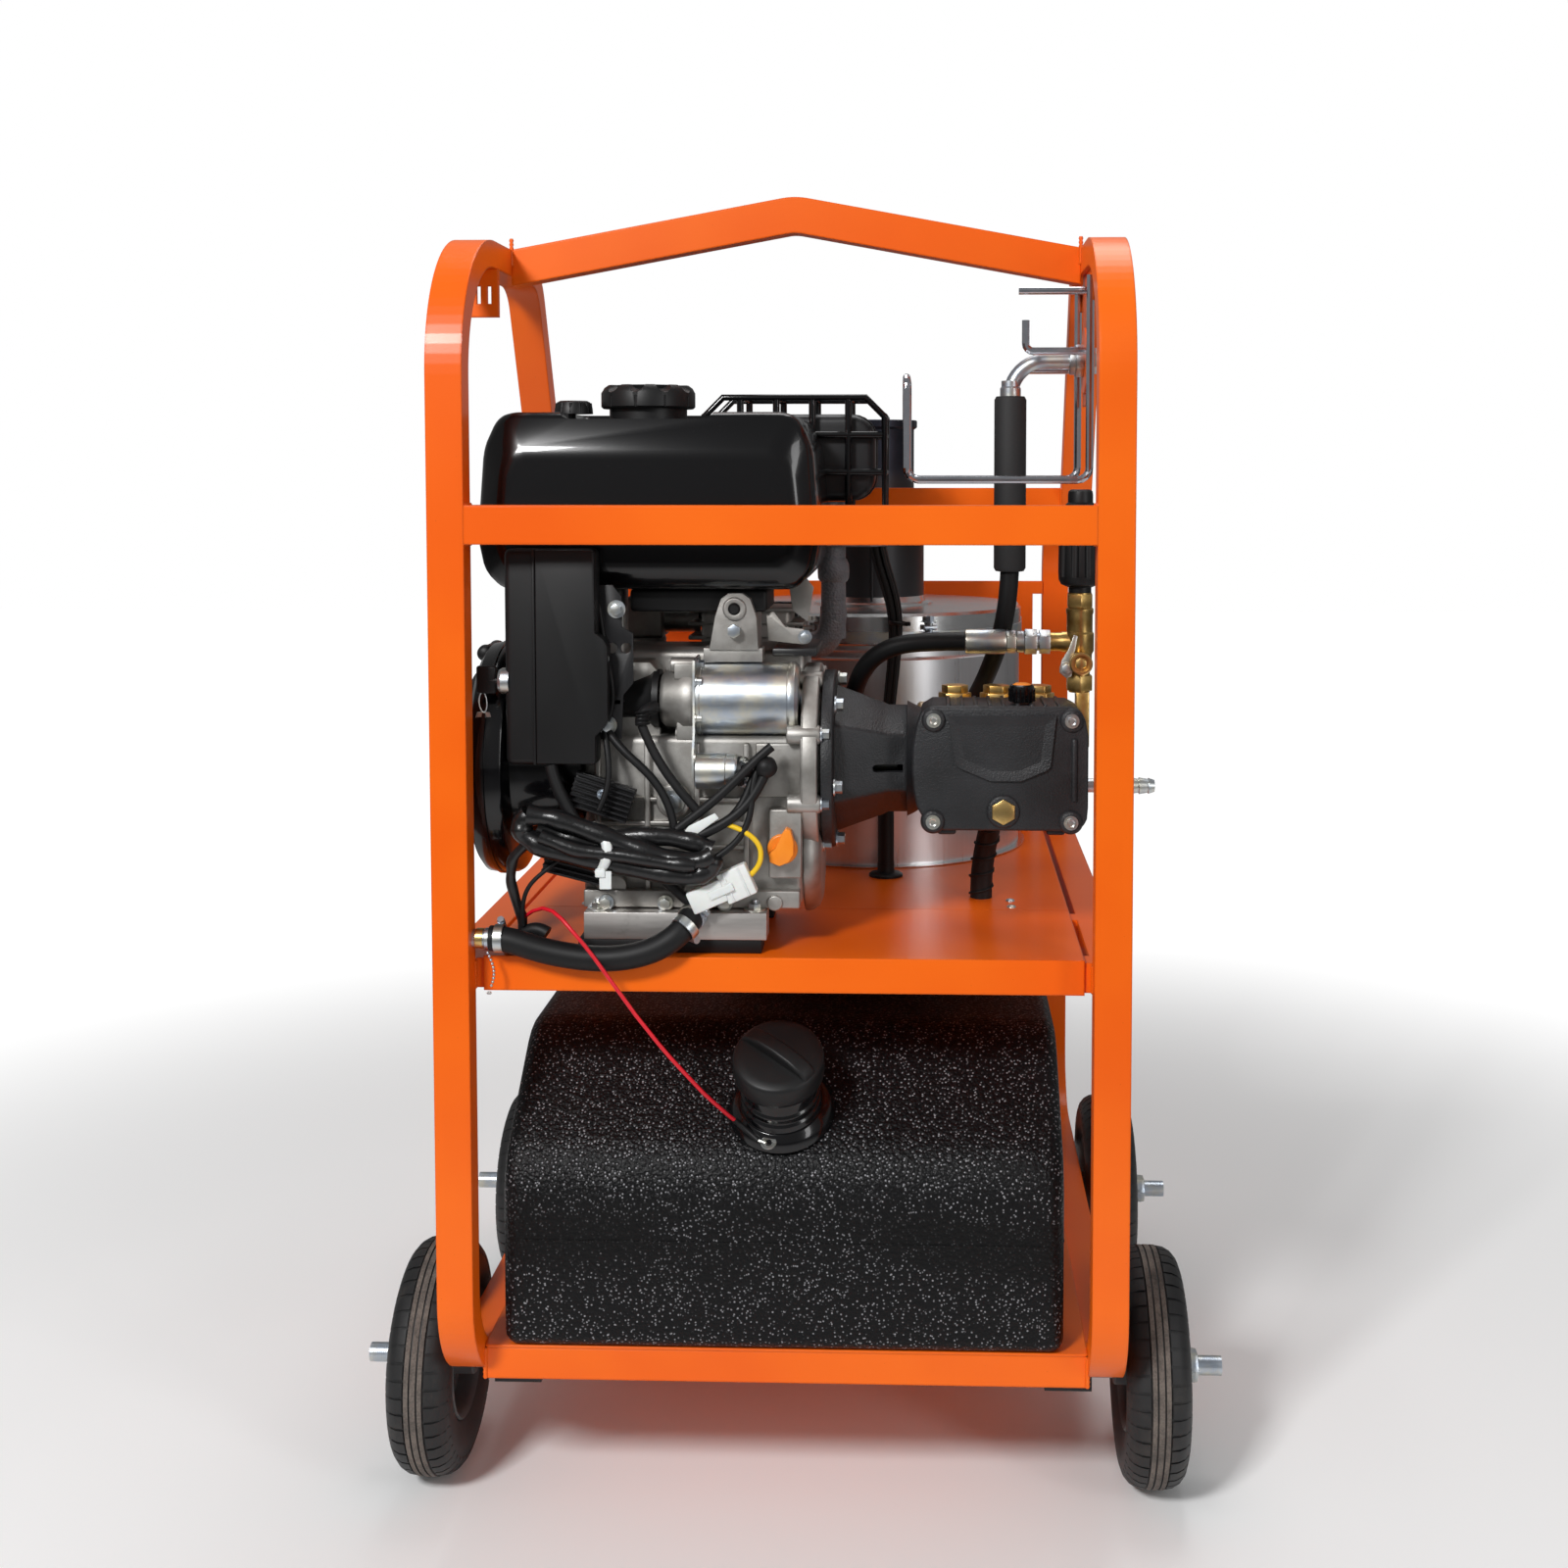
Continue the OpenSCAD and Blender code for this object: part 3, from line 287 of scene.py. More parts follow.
def turned(profile, place, way=UP, sides=48):
    """A piece turned on a lathe: the profile is (radius, height), closed unless it begins on the axis."""
    clear()
    bpy.ops.mesh.primitive_plane_add(size=0.002)
    piece = bpy.context.object
    bpy.ops.object.mode_set(mode="EDIT")
    bpy.context.tool_settings.mesh_select_mode = (True, False, False)
    bpy.ops.mesh.select_all(action="SELECT")
    bpy.ops.mesh.merge(type="CENTER")
    radius, height = profile[0]
    shift(radius, 0, height)
    for next_radius, next_height in profile[1:] + (profile[:1] if radius else []):
        pull(next_radius - radius, 0, next_height - height)
        radius, height = next_radius, next_height
    bpy.ops.mesh.select_all(action="SELECT")
    bpy.ops.mesh.spin(steps=sides, angle=math.tau, center=(0, 0, 0), axis=UP)
    bpy.ops.mesh.select_all(action="SELECT")
    bpy.ops.mesh.remove_doubles(threshold=0.000002)
    bpy.ops.mesh.normals_make_consistent(inside=False)
    done()
    return put(piece, place, facing(way))


def outline(points, plane, at, depth):
    """A plate with the outline given, in a plane, from at to at + depth along the third way."""
    clear()
    bpy.ops.mesh.primitive_circle_add(vertices=len(points), radius=0.01, fill_type="NGON")
    piece = bpy.context.object
    across = "XYZ".index(({*"XYZ"} - {*plane}).pop())
    for corner, (a, b) in zip(piece.data.vertices, points):
        place = [a, b]
        place.insert(across, at)
        corner.co = mm(*place)
    way = [0, 0, 0]
    way[across] = depth
    pick(piece)
    pull(*way)
    outward()
    done()
    return piece


def tube(points, radius, sides=12, smooth=True, closed=False, radii=None):
    """A round wire or hose along the points, in millimetres, as a mesh with closed ends."""
    clear()
    line = route_line("route", radius, max(1, sides // 4 - 1))
    spline = line.splines.new("NURBS" if smooth else "POLY")
    spline.points.add(len(points) - 1)
    for i, point in enumerate(points):
        spline.points[i].co = (*mm(*point), 1.0)
        spline.points[i].radius = radii[i] if radii else 1.0
    spline.use_cyclic_u = closed
    if smooth:
        spline.order_u = 4
        spline.use_endpoint_u = not closed
        spline.resolution_u = 6
    take(hang(line))
    bpy.ops.object.convert(target="MESH")
    return bpy.context.object


def route_line(name, radius, roundness):
    """An empty curve that is drawn as a round wire with closed ends."""
    line = bpy.data.curves.new(name, "CURVE")
    line.dimensions = "3D"
    line.bevel_depth = radius * MM
    line.bevel_resolution = roundness
    line.use_fill_caps = True
    return line


def hang(data):
    """Puts an object with the data into the scene."""
    piece = bpy.data.objects.new(data.name, data)
    bpy.context.scene.collection.objects.link(piece)
    return piece


def soften(piece, width=0.0, steps=2, angle=35, crisp=40):
    """Rounds the edges sharper than the angle, and shades the piece smooth up to crisp."""
    take(piece)
    if width:
        edge = piece.modifiers.new("edges", "BEVEL")
        edge.width = width * MM
        edge.segments = steps
        edge.limit_method = "ANGLE"
        edge.angle_limit = math.radians(angle)
        bpy.ops.object.modifier_apply(modifier="edges")
    bpy.ops.object.shade_smooth_by_angle(angle=math.radians(crisp))
    return piece


def block(low, high, width, steps=2, crisp=40):
    """A block with rounded edges."""
    return soften(cube(low, high), width, steps, crisp=crisp)


def hexagon(start, end, radius, edge, turn=0.0):
    """A plain hexagon with softened edges."""
    return soften(bar(start, end, radius, 6, turn), edge)


def weld(pieces):
    """Joins pieces of one finish into one object."""
    clear()
    for piece in pieces:
        piece.select_set(True)
    bpy.context.view_layer.objects.active = pieces[0]
    if len(pieces) > 1:
        bpy.ops.object.join()
    return bpy.context.object


def repeat(piece, count, axis):
    """The piece and its copies, turned round an axis through the origin, as one object."""
    pieces = [piece]
    for i in range(1, count):
        twin = hang(piece.data.copy())
        twin.data.transform(Matrix.Rotation(math.tau * i / count, 4, Vector(axis)))
        pieces.append(twin)
    return weld(pieces)


def cut(piece, tool):
    """Takes the tool's shape out of the piece."""
    take(piece)
    hole = piece.modifiers.new("hole", "BOOLEAN")
    hole.object = tool
    hole.operation = "DIFFERENCE"
    hole.solver = "EXACT"
    bpy.ops.object.modifier_apply(modifier="hole")
    bpy.data.objects.remove(tool)
    return piece


def fit(piece, name, body, finish, slot, instead):
    """Names the piece, gives it its finish and body, and hides the plain solids that it stands for."""
    piece.name = name
    piece.data.name = name
    piece.data.materials.clear()
    piece.data.materials.append(finish)
    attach(piece, body)
    if instead:
        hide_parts(*instead)
    return piece


def part(name, pieces, finish, instead=(), width=0.0, steps=2, angle=35, crisp=None, body="frame",
         slot=None):
    """Joins the pieces into one named part, with its edges rounded and shaded if asked."""
    whole = weld(pieces)
    if crisp:
        soften(whole, width, steps, angle, crisp)
    return fit(whole, name, body, finish, slot or SLOTS[finish], instead)


def clouded(name, cloud, tones, rough, skin=None, band=None, **constants):
    """A finish whose tones and roughness follow one cloud of noise.

    rough is the least roughness and its gain over the cloud. skin is the noise of the fine grain, or
    None for the cloud itself, with its bump's strength and depth. band is the part of the cloud that
    the tones run over, and how far they may run.
    """
    f = Finish(name, **constants)
    haze = f.noise(*cloud)
    share = f.step(haze, *band) if band else haze
    f.set(base_color=f.blend(share, *tones), roughness=rough[0] + rough[1] * haze)
    if skin:
        grain, strength, depth = skin
        f.set(normal=f.bump(f.noise(*grain) if grain else haze, strength, depth))
    return f.material


def orange_powder_coat():
    """Satin-gloss powder coat: a fine orange-peel skin, slightly deeper in tone in broad clouds."""
    f = Finish("orange_powder_coat", coat_roughness=0.14, specular_ior_level=0.3)
    cloud = f.noise(3.2, 3, 0.55)
    specks = f.step(f.cells(70), 0.035, 0.02)
    colour = f.blend(f.step(cloud, 0.3, 0.7), tone(238, 94, 4), tone(247, 108, 8))
    colour = f.blend(specks * 0.35, colour, tone(120, 52, 18))
    edge = f.add("Bevel", {"samples": 4}, {"Radius": 0.003}, out="Normal")
    return f.set(base_color=colour, roughness=0.3 + 0.1 * cloud + 0.3 * specks, coat_weight=0.12,
                 normal=f.bump(f.noise(900), 0.12, 0.0004, over=edge))


def bright_zinc():
    """Zinc plate: cool, lightly brushed, with pale blue and straw patches."""
    f = Finish("bright_zinc", metallic=1.0)
    patch = f.noise(35, 3, 0.6)
    grain = f.noise(300, 2, 0.6, stretch=(0.2, 1, 1))
    colour = f.blend(f.step(patch, 0.35, 0.65), tone(188, 198, 210), tone(214, 212, 200))
    return f.set(base_color=colour, roughness=0.24 + 0.16 * grain + 0.1 * patch,
                 normal=f.bump(grain, 0.1, 0.0003))


def worn_crown():
    """The crown rib of a tyre, rubbed grey-brown by the floor."""
    f = Finish("worn_crown", roughness=0.86)
    grit = f.noise(500, 4, 0.7)
    dust = f.noise(40, 4, 0.65)
    colour = f.blend(f.step(dust * 0.5 + grit * 0.5, 0.35, 0.65), tone(74, 68, 64), tone(118, 108, 100))
    return f.set(base_color=colour, normal=f.bump(grit, 0.4, 0.0006))


def pebbled_plastic():
    """Rotationally moulded black plastic: shiny pebbles with painted highlights, and a band of painted shade
    round the parting line.
    """
    f = Finish("pebbled_plastic", specular_ior_level=0.2)
    flow = f.noise(9, 3, stretch=(0.45, 1, 1.8))
    pebble = f.cells(275)
    height = f.part("Z")
    # A darker band round the parting line, where the painted highlights also fade, is painted shade.
    shade_belt = f.step(height, 0.245, 0.275) * f.step(height, 0.355, 0.315)
    painted_shade_band = f.step(flow, 0.44, 0.6) * shade_belt
    # Bright specks over the pebbles are painted highlights, not the plastic's own colour.
    painted_glint = f.step(pebble, 0.34, 0.14) * f.step(f.noise(330, 2, 0.6), 0.36, 0.56) * (1 - 0.92 * painted_shade_band)
    colour = f.blend(painted_shade_band, tone(10, 10, 12), tone(7, 7, 8))
    return f.set(base_color=f.blend(painted_glint, colour, tone(150, 150, 154)), roughness=0.42 - 0.2 * painted_glint,
                 normal=f.bump(pebble + 0.3 * f.cells(520), 0.6, 0.0016))


def gloss_black():
    """Wet-looking black paint on pressed steel, with faint dust."""
    f = Finish("gloss_black", coat_roughness=0.05, coat_weight=0.42, specular_ior_level=0.25)
    dust = f.step(f.cells(240), 0.05, 0.02)
    return f.set(base_color=f.blend(dust * 0.4, tone(9, 9, 11), tone(120, 118, 116)),
                 roughness=0.2 + 0.3 * dust, normal=f.bump(f.noise(7), 0.03, 0.004))


def cast_aluminium():
    """Die-cast aluminium: pale, matt, softly blotched and sooty, with a fine cast grain."""
    f = Finish("cast_aluminium", metallic=0.85)
    blotch = f.noise(24, 4, 0.6)
    soot = f.step(f.noise(9, 3), 0.58, 0.8)
    colour = f.blend(f.step(blotch, 0.3, 0.7), tone(150, 147, 142), tone(182, 180, 176))
    return f.set(base_color=f.blend(soot * 0.5, colour, tone(96, 92, 88)), roughness=0.42 + 0.16 * blotch,
                 normal=f.bump(f.noise(520, 3, 0.6), 0.3, 0.0005))


def sand_cast():
    """Rough silver-painted sand casting."""
    f = Finish("sand_cast", metallic=0.3)
    patch = f.noise(60, 3)
    return f.set(base_color=f.blend(patch, tone(118, 122, 128), tone(165, 168, 174)),
                 roughness=0.38 + 0.2 * patch, normal=f.bump(f.cells(420, "SMOOTH_F1"), 0.8, 0.0012))


def drawn_aluminium():
    """Sawn mill-finish bar, scuffed along its length."""
    f = Finish("drawn_aluminium", metallic=0.9)
    lines = f.noise(160, 3, 0.65, stretch=(0.08, 1, 1))
    scuff = f.step(f.noise(30, 4, 0.7), 0.55, 0.75)
    colour = f.blend(lines, tone(176, 172, 168), tone(206, 203, 200))
    return f.set(base_color=f.blend(scuff * 0.35, colour, tone(120, 116, 112)),
                 roughness=0.36 + 0.2 * lines, normal=f.bump(lines, 0.15, 0.0004))


def black_casting():
    """Black-coated casting with an even grainy skin, as on a pump cover."""
    f = Finish("black_casting")
    fine = f.noise(900, 2, 0.6)
    cloud = f.noise(14, 3)
    colour = f.blend(f.step(cloud + 0.4 * fine, 0.45, 0.95), tone(20, 21, 23), tone(36, 37, 40))
    return f.set(base_color=colour, roughness=0.45 + 0.1 * cloud,
                 normal=f.bump(f.cells(620, "SMOOTH_F1") + 0.5 * fine, 0.55, 0.0007))


def brushed_stainless():
    """Rolled stainless sheet with fine upright grain, as on a boiler jacket."""
    f = Finish("brushed_stainless", metallic=0.86)
    grain = f.noise(210, 4, 0.65, stretch=(1, 1, 0.03))
    broad = f.noise(26, 3, stretch=(1, 1, 0.12))
    colour = f.blend(0.5 * grain + 0.5 * broad, tone(196, 196, 198), tone(226, 226, 228))
    return f.set(base_color=colour, roughness=0.2 + 0.14 * grain + 0.06 * broad,
                 normal=f.bump(grain, 0.08, 0.0004))


def polished_lid():
    f = Finish("polished_lid", metallic=1.0)
    sway = f.noise(18, 3)
    scratch = f.noise(240, 4, 0.7, stretch=(0.2, 1, 1))
    return f.set(base_color=f.blend(sway, tone(206, 206, 206), tone(228, 228, 228)),
                 roughness=0.16 + 0.16 * scratch, normal=f.bump(sway, 0.1, 0.004))


def heated_steel():
    """Flue steel, nearly black with a navy tint that is a painted sky reflection, and straw-coloured at its
    lower rim.
    """
    f = Finish("heated_steel", metallic=0.7)
    patch = f.noise(16, 4, 0.6)
    straw = f.step(f.part("Z"), 1.078, 1.053)
    # Both tones carry a navy tint that is a painted sky reflection.
    colour = f.blend(f.step(patch, 0.3, 0.7), tone(26, 29, 38), tone(44, 48, 60))
    return f.set(base_color=f.blend(straw, colour, tone(58, 58, 60)), roughness=0.34 + 0.18 * patch)


paint = orange_powder_coat()
powder = clouded("black_powder_coat", (8, 3), (tone(18, 18, 20), tone(32, 32, 34)), (0.34, 0.14),
                 ((700,), 0.15, 0.0004))
zinc = bright_zinc()
chrome = clouded("chrome_wire", (60, 3, 0.6), (tone(184, 187, 196), tone(208, 210, 216)), (0.1, 0.14),
                 (None, 0.06, 0.0005), metallic=1.0)
# Black rubber, dusty in patches.
rubber = clouded("tyre_rubber", (22, 4, 0.65), (tone(22, 22, 23), tone(72, 66, 60)), (0.42, 0.25),
                 ((420, 3, 0.65), 0.2, 0.0005), (0.5, 0.8, 0.5))
crown = worn_crown()
rim_paint = clouded("grey_rim", (18, 4, 0.6), (tone(66, 68, 70), tone(104, 102, 98)), (0.45, 0.25),
                    ((600,), 0.12, 0.0004), (0.4, 0.75))
pebbled = pebbled_plastic()
moulded = clouded("moulded_black", (12, 3), (tone(13, 13, 14), tone(21, 21, 22)), (0.4, 0.12),
                  ((1400, 2, 0.6), 0.12, 0.0003), specular_ior_level=0.36)
gloss = gloss_black()
casting = cast_aluminium()
rough_cast = sand_cast()
bar_stock = drawn_aluminium()
pump_skin = black_casting()
brass_bar = clouded("brass", (40, 4, 0.6), (tone(222, 188, 122), tone(168, 128, 62)), (0.22, 0.22),
                    ((380, 3, 0.6), 0.16, 0.0004), (0.35, 0.75), metallic=1.0)
hose = clouded("hose_rubber", (20, 3), (tone(13, 13, 14), tone(26, 26, 27)), (0.44, 0.16),
               ((500, 3, 0.6), 0.16, 0.0004), specular_ior_level=0.3)
# Soft black sleeving, creased where it is bent.
sleeving = clouded("glossy_sleeve", (110, 4, 0.6, (1, 1, 1), 0.6), (tone(14, 14, 15), tone(26, 26, 27)),
                   (0.22, 0.16), (None, 0.4, 0.0014))
orange_cap = clouded("orange_plastic", (60, 3), (tone(244, 132, 22), tone(250, 150, 40)), (0.34, 0.1),
                     (None, 0.1, 0.0008))
yellow = clouded("yellow_sleeve", (90, 3), (tone(238, 190, 20), tone(248, 208, 40)), (0.32, 0.12))
red = clouded("red_insulation", (80, 3), (tone(206, 12, 34), tone(226, 26, 46)), (0.34, 0.14),
              (None, 0.1, 0.0006))
nylon = clouded("white_nylon", (90, 3), (tone(226, 226, 222), tone(240, 240, 238)), (0.3, 0.14),
                subsurface_weight=0.1)
stainless = brushed_stainless()
lid_steel = polished_lid()
flue_steel = heated_steel()
foam = clouded("foam_rubber", (700, 3, 0.6), (tone(24, 24, 25), tone(38, 38, 39)), (0.7, 0.0),
               (None, 0.25, 0.0005))

# The material slot of each finish, where a piece names no other.
SLOTS = {paint: "orange_paint", powder: "black_steel", zinc: "zinc", rubber: "tyre_rubber",
         rim_paint: "grey_rim", pebbled: "textured_plastic", moulded: "black_plastic",
         gloss: "gloss_black", casting: "cast_aluminium", rough_cast: "cast_aluminium",
         bar_stock: "rail_aluminium", pump_skin: "black_casting", brass_bar: "brass",
         hose: "hose_rubber", sleeving: "hose_rubber", foam: "hose_rubber",
         orange_cap: "orange_plastic", yellow: "red_insulation", red: "red_insulation",
         nylon: "black_plastic", stainless: "stainless", lid_steel: "stainless",
         flue_steel: "black_steel"}


# ---------------------------------------------------------------- the sender wire, the one free cord

WIRE_ROUTE = (
    (-262, -392, 626), (-250, -399, 635), (-238, -408, 640), (-226, -420, 640), (-214, -431, 634),
    (-203, -437, 624), (-192, -437, 611), (-182, -437, 598), (-172, -437, 584), (-162, -437, 570),
    (-152, -437, 556), (-142, -437, 542), (-131, -437, 528), (-120, -435, 513), (-109, -433, 499),
    (-98, -429, 485), (-88, -424, 472), (-79, -417, 459), (-70, -409, 447), (-62, -400, 436),
    (-55, -391, 426), (-48, -382, 417),
)
WIRE_WIDTH = 4.0


def route_length(points):
    return sum((Vector(b) - Vector(a)).length for a, b in zip(points, points[1:])) * MM


def sender_wire():
    line = route_line("sender_wire", WIRE_WIDTH / 2, 3)
    spline = line.splines.new("POLY")
    spline.points.add(len(WIRE_ROUTE) - 1)
    for point, place in zip(spline.points, WIRE_ROUTE):
        point.co = (*mm(*place), 1.0)
    wire = hang(line)
    part("sender_wire", [wire], red, ["tank_wire"])
    mm(*WIRE_ROUTE[0])
    route_length(WIRE_ROUTE)


sender_wire()


# ---------------------------------------------------------------- frame details

def bead(points, width):
    """A run of weld along the points, with the ripple of its overlapping pools."""
    pools = []
    for a, b in zip(points, points[1:]):
        count = max(3, round((Vector(b) - Vector(a)).length / 2.2))
        pools += [tuple(Vector(a).lerp(Vector(b), i / count)) for i in range(count)]
    pools.append(tuple(points[-1]))
    swell = [1.15 if i % 2 else 0.8 for i in range(len(pools))]
    return soften(tube(pools, width, 8, False, radii=swell), crisp=60)


# The beads on each side frame: how far out, from and to along and up, and the bead's width.
WELDS = (
    (305, (-437, 1040), (-412, 1040), 2.0), (305, (-437, 1002), (-412, 1002), 2.0),
    (305, (-392, 152), (-392, 184), 2.4), (305, (-392, 184), (-364, 184), 2.4),
    (305, (-214, 1292), (-214, 1322), 2.2), (305, (53, 1052), (53, 1020), 2.0),
    (305, (364, 1018), (364, 990), 2.0), (305, (392, 184), (392, 156), 2.2),
    (306, (-412, 560), (-412, 588), 2.4), (306, (411, 560), (411, 588), 2.4),
)


def frame_welds():
    runs = [bead([(side * x, *start), (side * x, *end)], width)
            for side in (-1, 1) for x, start, end, width in WELDS]
    part("frame_welds", runs, paint)


def button_head(place, way, radius, height):
    """A rivet or button head on a surface, with a small dimple."""
    profile = [(radius * 0.3, height), (radius * 0.42, height), (radius * 0.8, height * 0.7),
               (radius, height * 0.15), (radius, 0), (0, 0)]
    return turned([(0, height * 0.7)] + profile, place, way, 20)


def deck_rivets():
    heads = [button_head((x, y, 592), UP, 5.2, 2.4) for x in (236, -236) for y in (-182, -152)]
    part("deck_rivets", heads, zinc, crisp=40)


def washered(place, way, washer, thickness):
    """The washer under a bolt's head, if it has one, and where the head then sits."""
    if not washer:
        return [], place
    ring = turned([(0, thickness), (washer, thickness), (washer, 0), (0, 0)], place, way, 28)
    return [ring], place + way * thickness


def hex_bolt(place, way, across, height, washer=0.0, stub=0.0):
    """A hexagon head with its chamfer, a washer under it and, if asked, the end of a thread above it."""
    way = Vector(way)
    parts, place = washered(Vector(place), way, washer, 1.6)
    head = bar(place, place + way * height, across / math.sqrt(3), 6)
    pick(head, lambda spot, normal: normal.dot(way) > 0.9)
    inset(across * 0.08)
    shift(*(way * across * 0.03))
    done()
    parts.append(head)
    if stub:
        top = place + way * height
        rings = []
        for i in range(int(stub / 1.5)):
            rings += [(across * 0.28, i * 1.5), (across * 0.31, i * 1.5 + 0.75)]
        parts.append(turned([(0, 0)] + rings + [(across * 0.26, stub), (0, stub)], top, way, 20))
    return weld(parts)


def socket_bolt(place, way, radius, height, washer=0.0):
    """A round head with a hexagon socket."""
    way = Vector(way)
    parts, place = washered(Vector(place), way, washer, 1.4)
    head = bar(place, place + way * height, radius, 36)
    pick(head, lambda spot, normal: normal.dot(way) > 0.9)
    inset(radius * 0.16)
    inset(radius * 0.3)
    shift(*(way * -height * 0.5))
    done()
    parts.append(head)
    return weld(parts)


def outlet_nut():
    """Zinc lock nut and washer that hold the outlet nipple in its orange disc."""
    parts = [hex_bolt((309, -235, 1189), LEFT, 30, 9, 17),
             turned([(8.6, 9), (10.4, 8), (11.6, 4), (12.5, 0), (8.6, 0)], (314.2, -235, 1189), RIGHT, 36)]
    part("outlet_nut", parts, zinc, width=0.5, crisp=40)


frame_welds()
deck_rivets()
outlet_nut()


# ---------------------------------------------------------------- wheels

PITCHES = 44
AXLE_Z = 121.0
WHEELS = (("front_left", -380, -275), ("front_right", 380, -275),
          ("rear_left", -380, 220), ("rear_right", 380, 220))


def tread_lug(side, phase):
    """One block of the tread, bent over the shoulder, standing up from the carcass."""
    step = math.tau / PITCHES
    wide = step * 0.42
    rows = ((11.0, 120.2), (18.5, 119.0), (25.0, 115.4), (30.0, 109.5), (32.6, 102.0))
    clear()
    bpy.ops.mesh.primitive_grid_add(x_subdivisions=4, y_subdivisions=2, size=0.01)
    lug = bpy.context.object
    columns = sorted({round(corner.co.x, 6) for corner in lug.data.vertices})
    lines = sorted({round(corner.co.y, 6) for corner in lug.data.vertices})
    for corner in lug.data.vertices:
        across, radius = rows[columns.index(round(corner.co.x, 6))]
        angle = phase + wide * (lines.index(round(corner.co.y, 6)) - 1)
        corner.co = mm(side * across, radius * math.cos(angle), radius * math.sin(angle))
    pick(lug)
    outward()
    bpy.ops.mesh.extrude_region_move()
    centre = Vector((side * 0.012, math.cos(phase) * 0.09, math.sin(phase) * 0.09))
    scale(0.93, 0.93, 0.93, centre)
    outward()
    done()
    return lug


def tyre_carcass():
    half = [(66, -25), (70, -28), (84, -32), (98, -33), (108, -30.6), (114, -26), (117.4, -19),
            (118.6, -11.5), (119.2, -10), (121, -9.2), (121, -4.6), (119.6, -4.2), (119.6, -3.2), (121, -2.8)]
    other = [(radius, -across) for radius, across in reversed(half)]
    return turned(half + other, (0, 0, 0), RIGHT, 96)


def wheel(where, x, y):
    """A tyre with two staggered rows of lugs and a rubbed crown, on its dished rim with five holes."""
    place = Matrix.Translation(mm(x, y, AXLE_Z))
    body = "wheel_" + where
    carcass = tyre_carcass()
    lugs = [repeat(tread_lug(side, phase), PITCHES, RIGHT)
            for side, phase in ((-1, 0.0), (1, math.tau / PITCHES * 0.5))]
    tread = weld(lugs)
    tread.data.transform(place)
    carcass.data.transform(place)
    tyre = part("tread_" + where, [carcass, tread], rubber, ["tyre_" + where], crisp=38, body=body)
    tyre.data.materials.append(crown)
    for face in tyre.data.polygons:
        spot = face.center - mm(x, y, AXLE_Z)
        if abs(spot.x) < 9.5 * MM and math.hypot(spot.y, spot.z) > 120.3 * MM:
            face.material_index = 1
    side = 1 if x > 0 else -1
    profile = [(11, -38), (19, -38), (20.5, -36), (20.5, -12), (24, -5), (38, -3), (44, -6), (54, -5),
               (57, -8), (58.5, -22), (60.5, -26), (64, -28.5), (66, -27), (66, -24), (63, -22.5),
               (62, 22.5), (66, 24), (66, 27), (64, 28.5), (60.5, 26), (58.5, 22), (57, 4), (54, 1),
               (44, 0), (38, 3), (24, 2), (20.5, 8), (20.5, 36), (19, 38), (11, 38)]
    shell = turned([(r, side * h) for r, h in profile], (x, y, AXLE_Z), RIGHT, 64)
    holes = [bar((x - 12, *spot), (x + 12, *spot), 5.5, 20) for spot in around(5, 47, (y, AXLE_Z))]
    cut(shell, weld(holes))
    part("rim_shell_" + where, [shell], rim_paint, ["rim_" + where], crisp=32, body=body)


for where, x, y in WHEELS:
    wheel(where, x, y)


def axle_ends():
    """Thread, nut and washer on each end of the two axles."""
    parts = []
    for where, x, y in WHEELS:
        side = 1 if where.endswith("right") else -1
        hub = x + side * 38.4
        parts.append(turned([(10.1, 2.2), (17, 2.2), (17, 0), (10.1, 0)], (hub, y, AXLE_Z), (side, 0, 0), 36))
        parts.append(hexagon((hub + side * 2.2, y, AXLE_Z), (hub + side * 13, y, AXLE_Z), 17.2, 1.2, 0.5))
        rings = [(0, 0)]
        for i in range(10):
            rings += [(9.3, i * 2.2), (10.2, i * 2.2 + 1.1)]
        rings += [(9.0, 22.6), (8.0, 24.6), (0, 24.6)]
        parts.append(turned(rings, (hub + side * 13, y, AXLE_Z), (side, 0, 0), 28))
    part("axle_ends", parts, zinc, crisp=30)


axle_ends()


# ---------------------------------------------------------------- engine

CRANK = (-290, 774)
FUEL_CAP = (-147, -290)
STARTER = (-344, 842)


def fuel_tank():
    """Pressed steel tank with folded-in flanks, a soft shoulder and a sunk landing for the cap."""
    shape = outline([(-286, 954), (-304, 972), (-311, 1006), (-304, 1096), (-290, 1126), (-276, 1132),
                     (0, 1132), (14, 1126), (28, 1096), (35, 1006), (28, 972), (10, 954)],
                    "XZ", -362, 210)
    pick(shape, lambda place, way: way.y < -0.9)
    pull(0, -16, 0)
    scale(0.87, 1, 0.65, mm(-138, -378, 1014))
    done()
    landing = block((-228, -392, 1125), (-70, -226, 1150), 14, 4, crisp=50)
    soften(shape, 8, 4, angle=14, crisp=50)
    cut(shape, landing)
    part("fuel_tank_shell", [shape], gloss, ["fuel_tank"], crisp=34)
    neck = turned([(0, 8), (38, 8), (40, 6), (40, -10), (0, -10)], (*FUEL_CAP, 1132), sides=64)
    part("filler_neck", [neck], moulded, crisp=30, slot="gloss_black")
    part("tank_seam", [block((-306, -379.4, 1003), (30, -150.6, 1006), 1.2)], gloss)


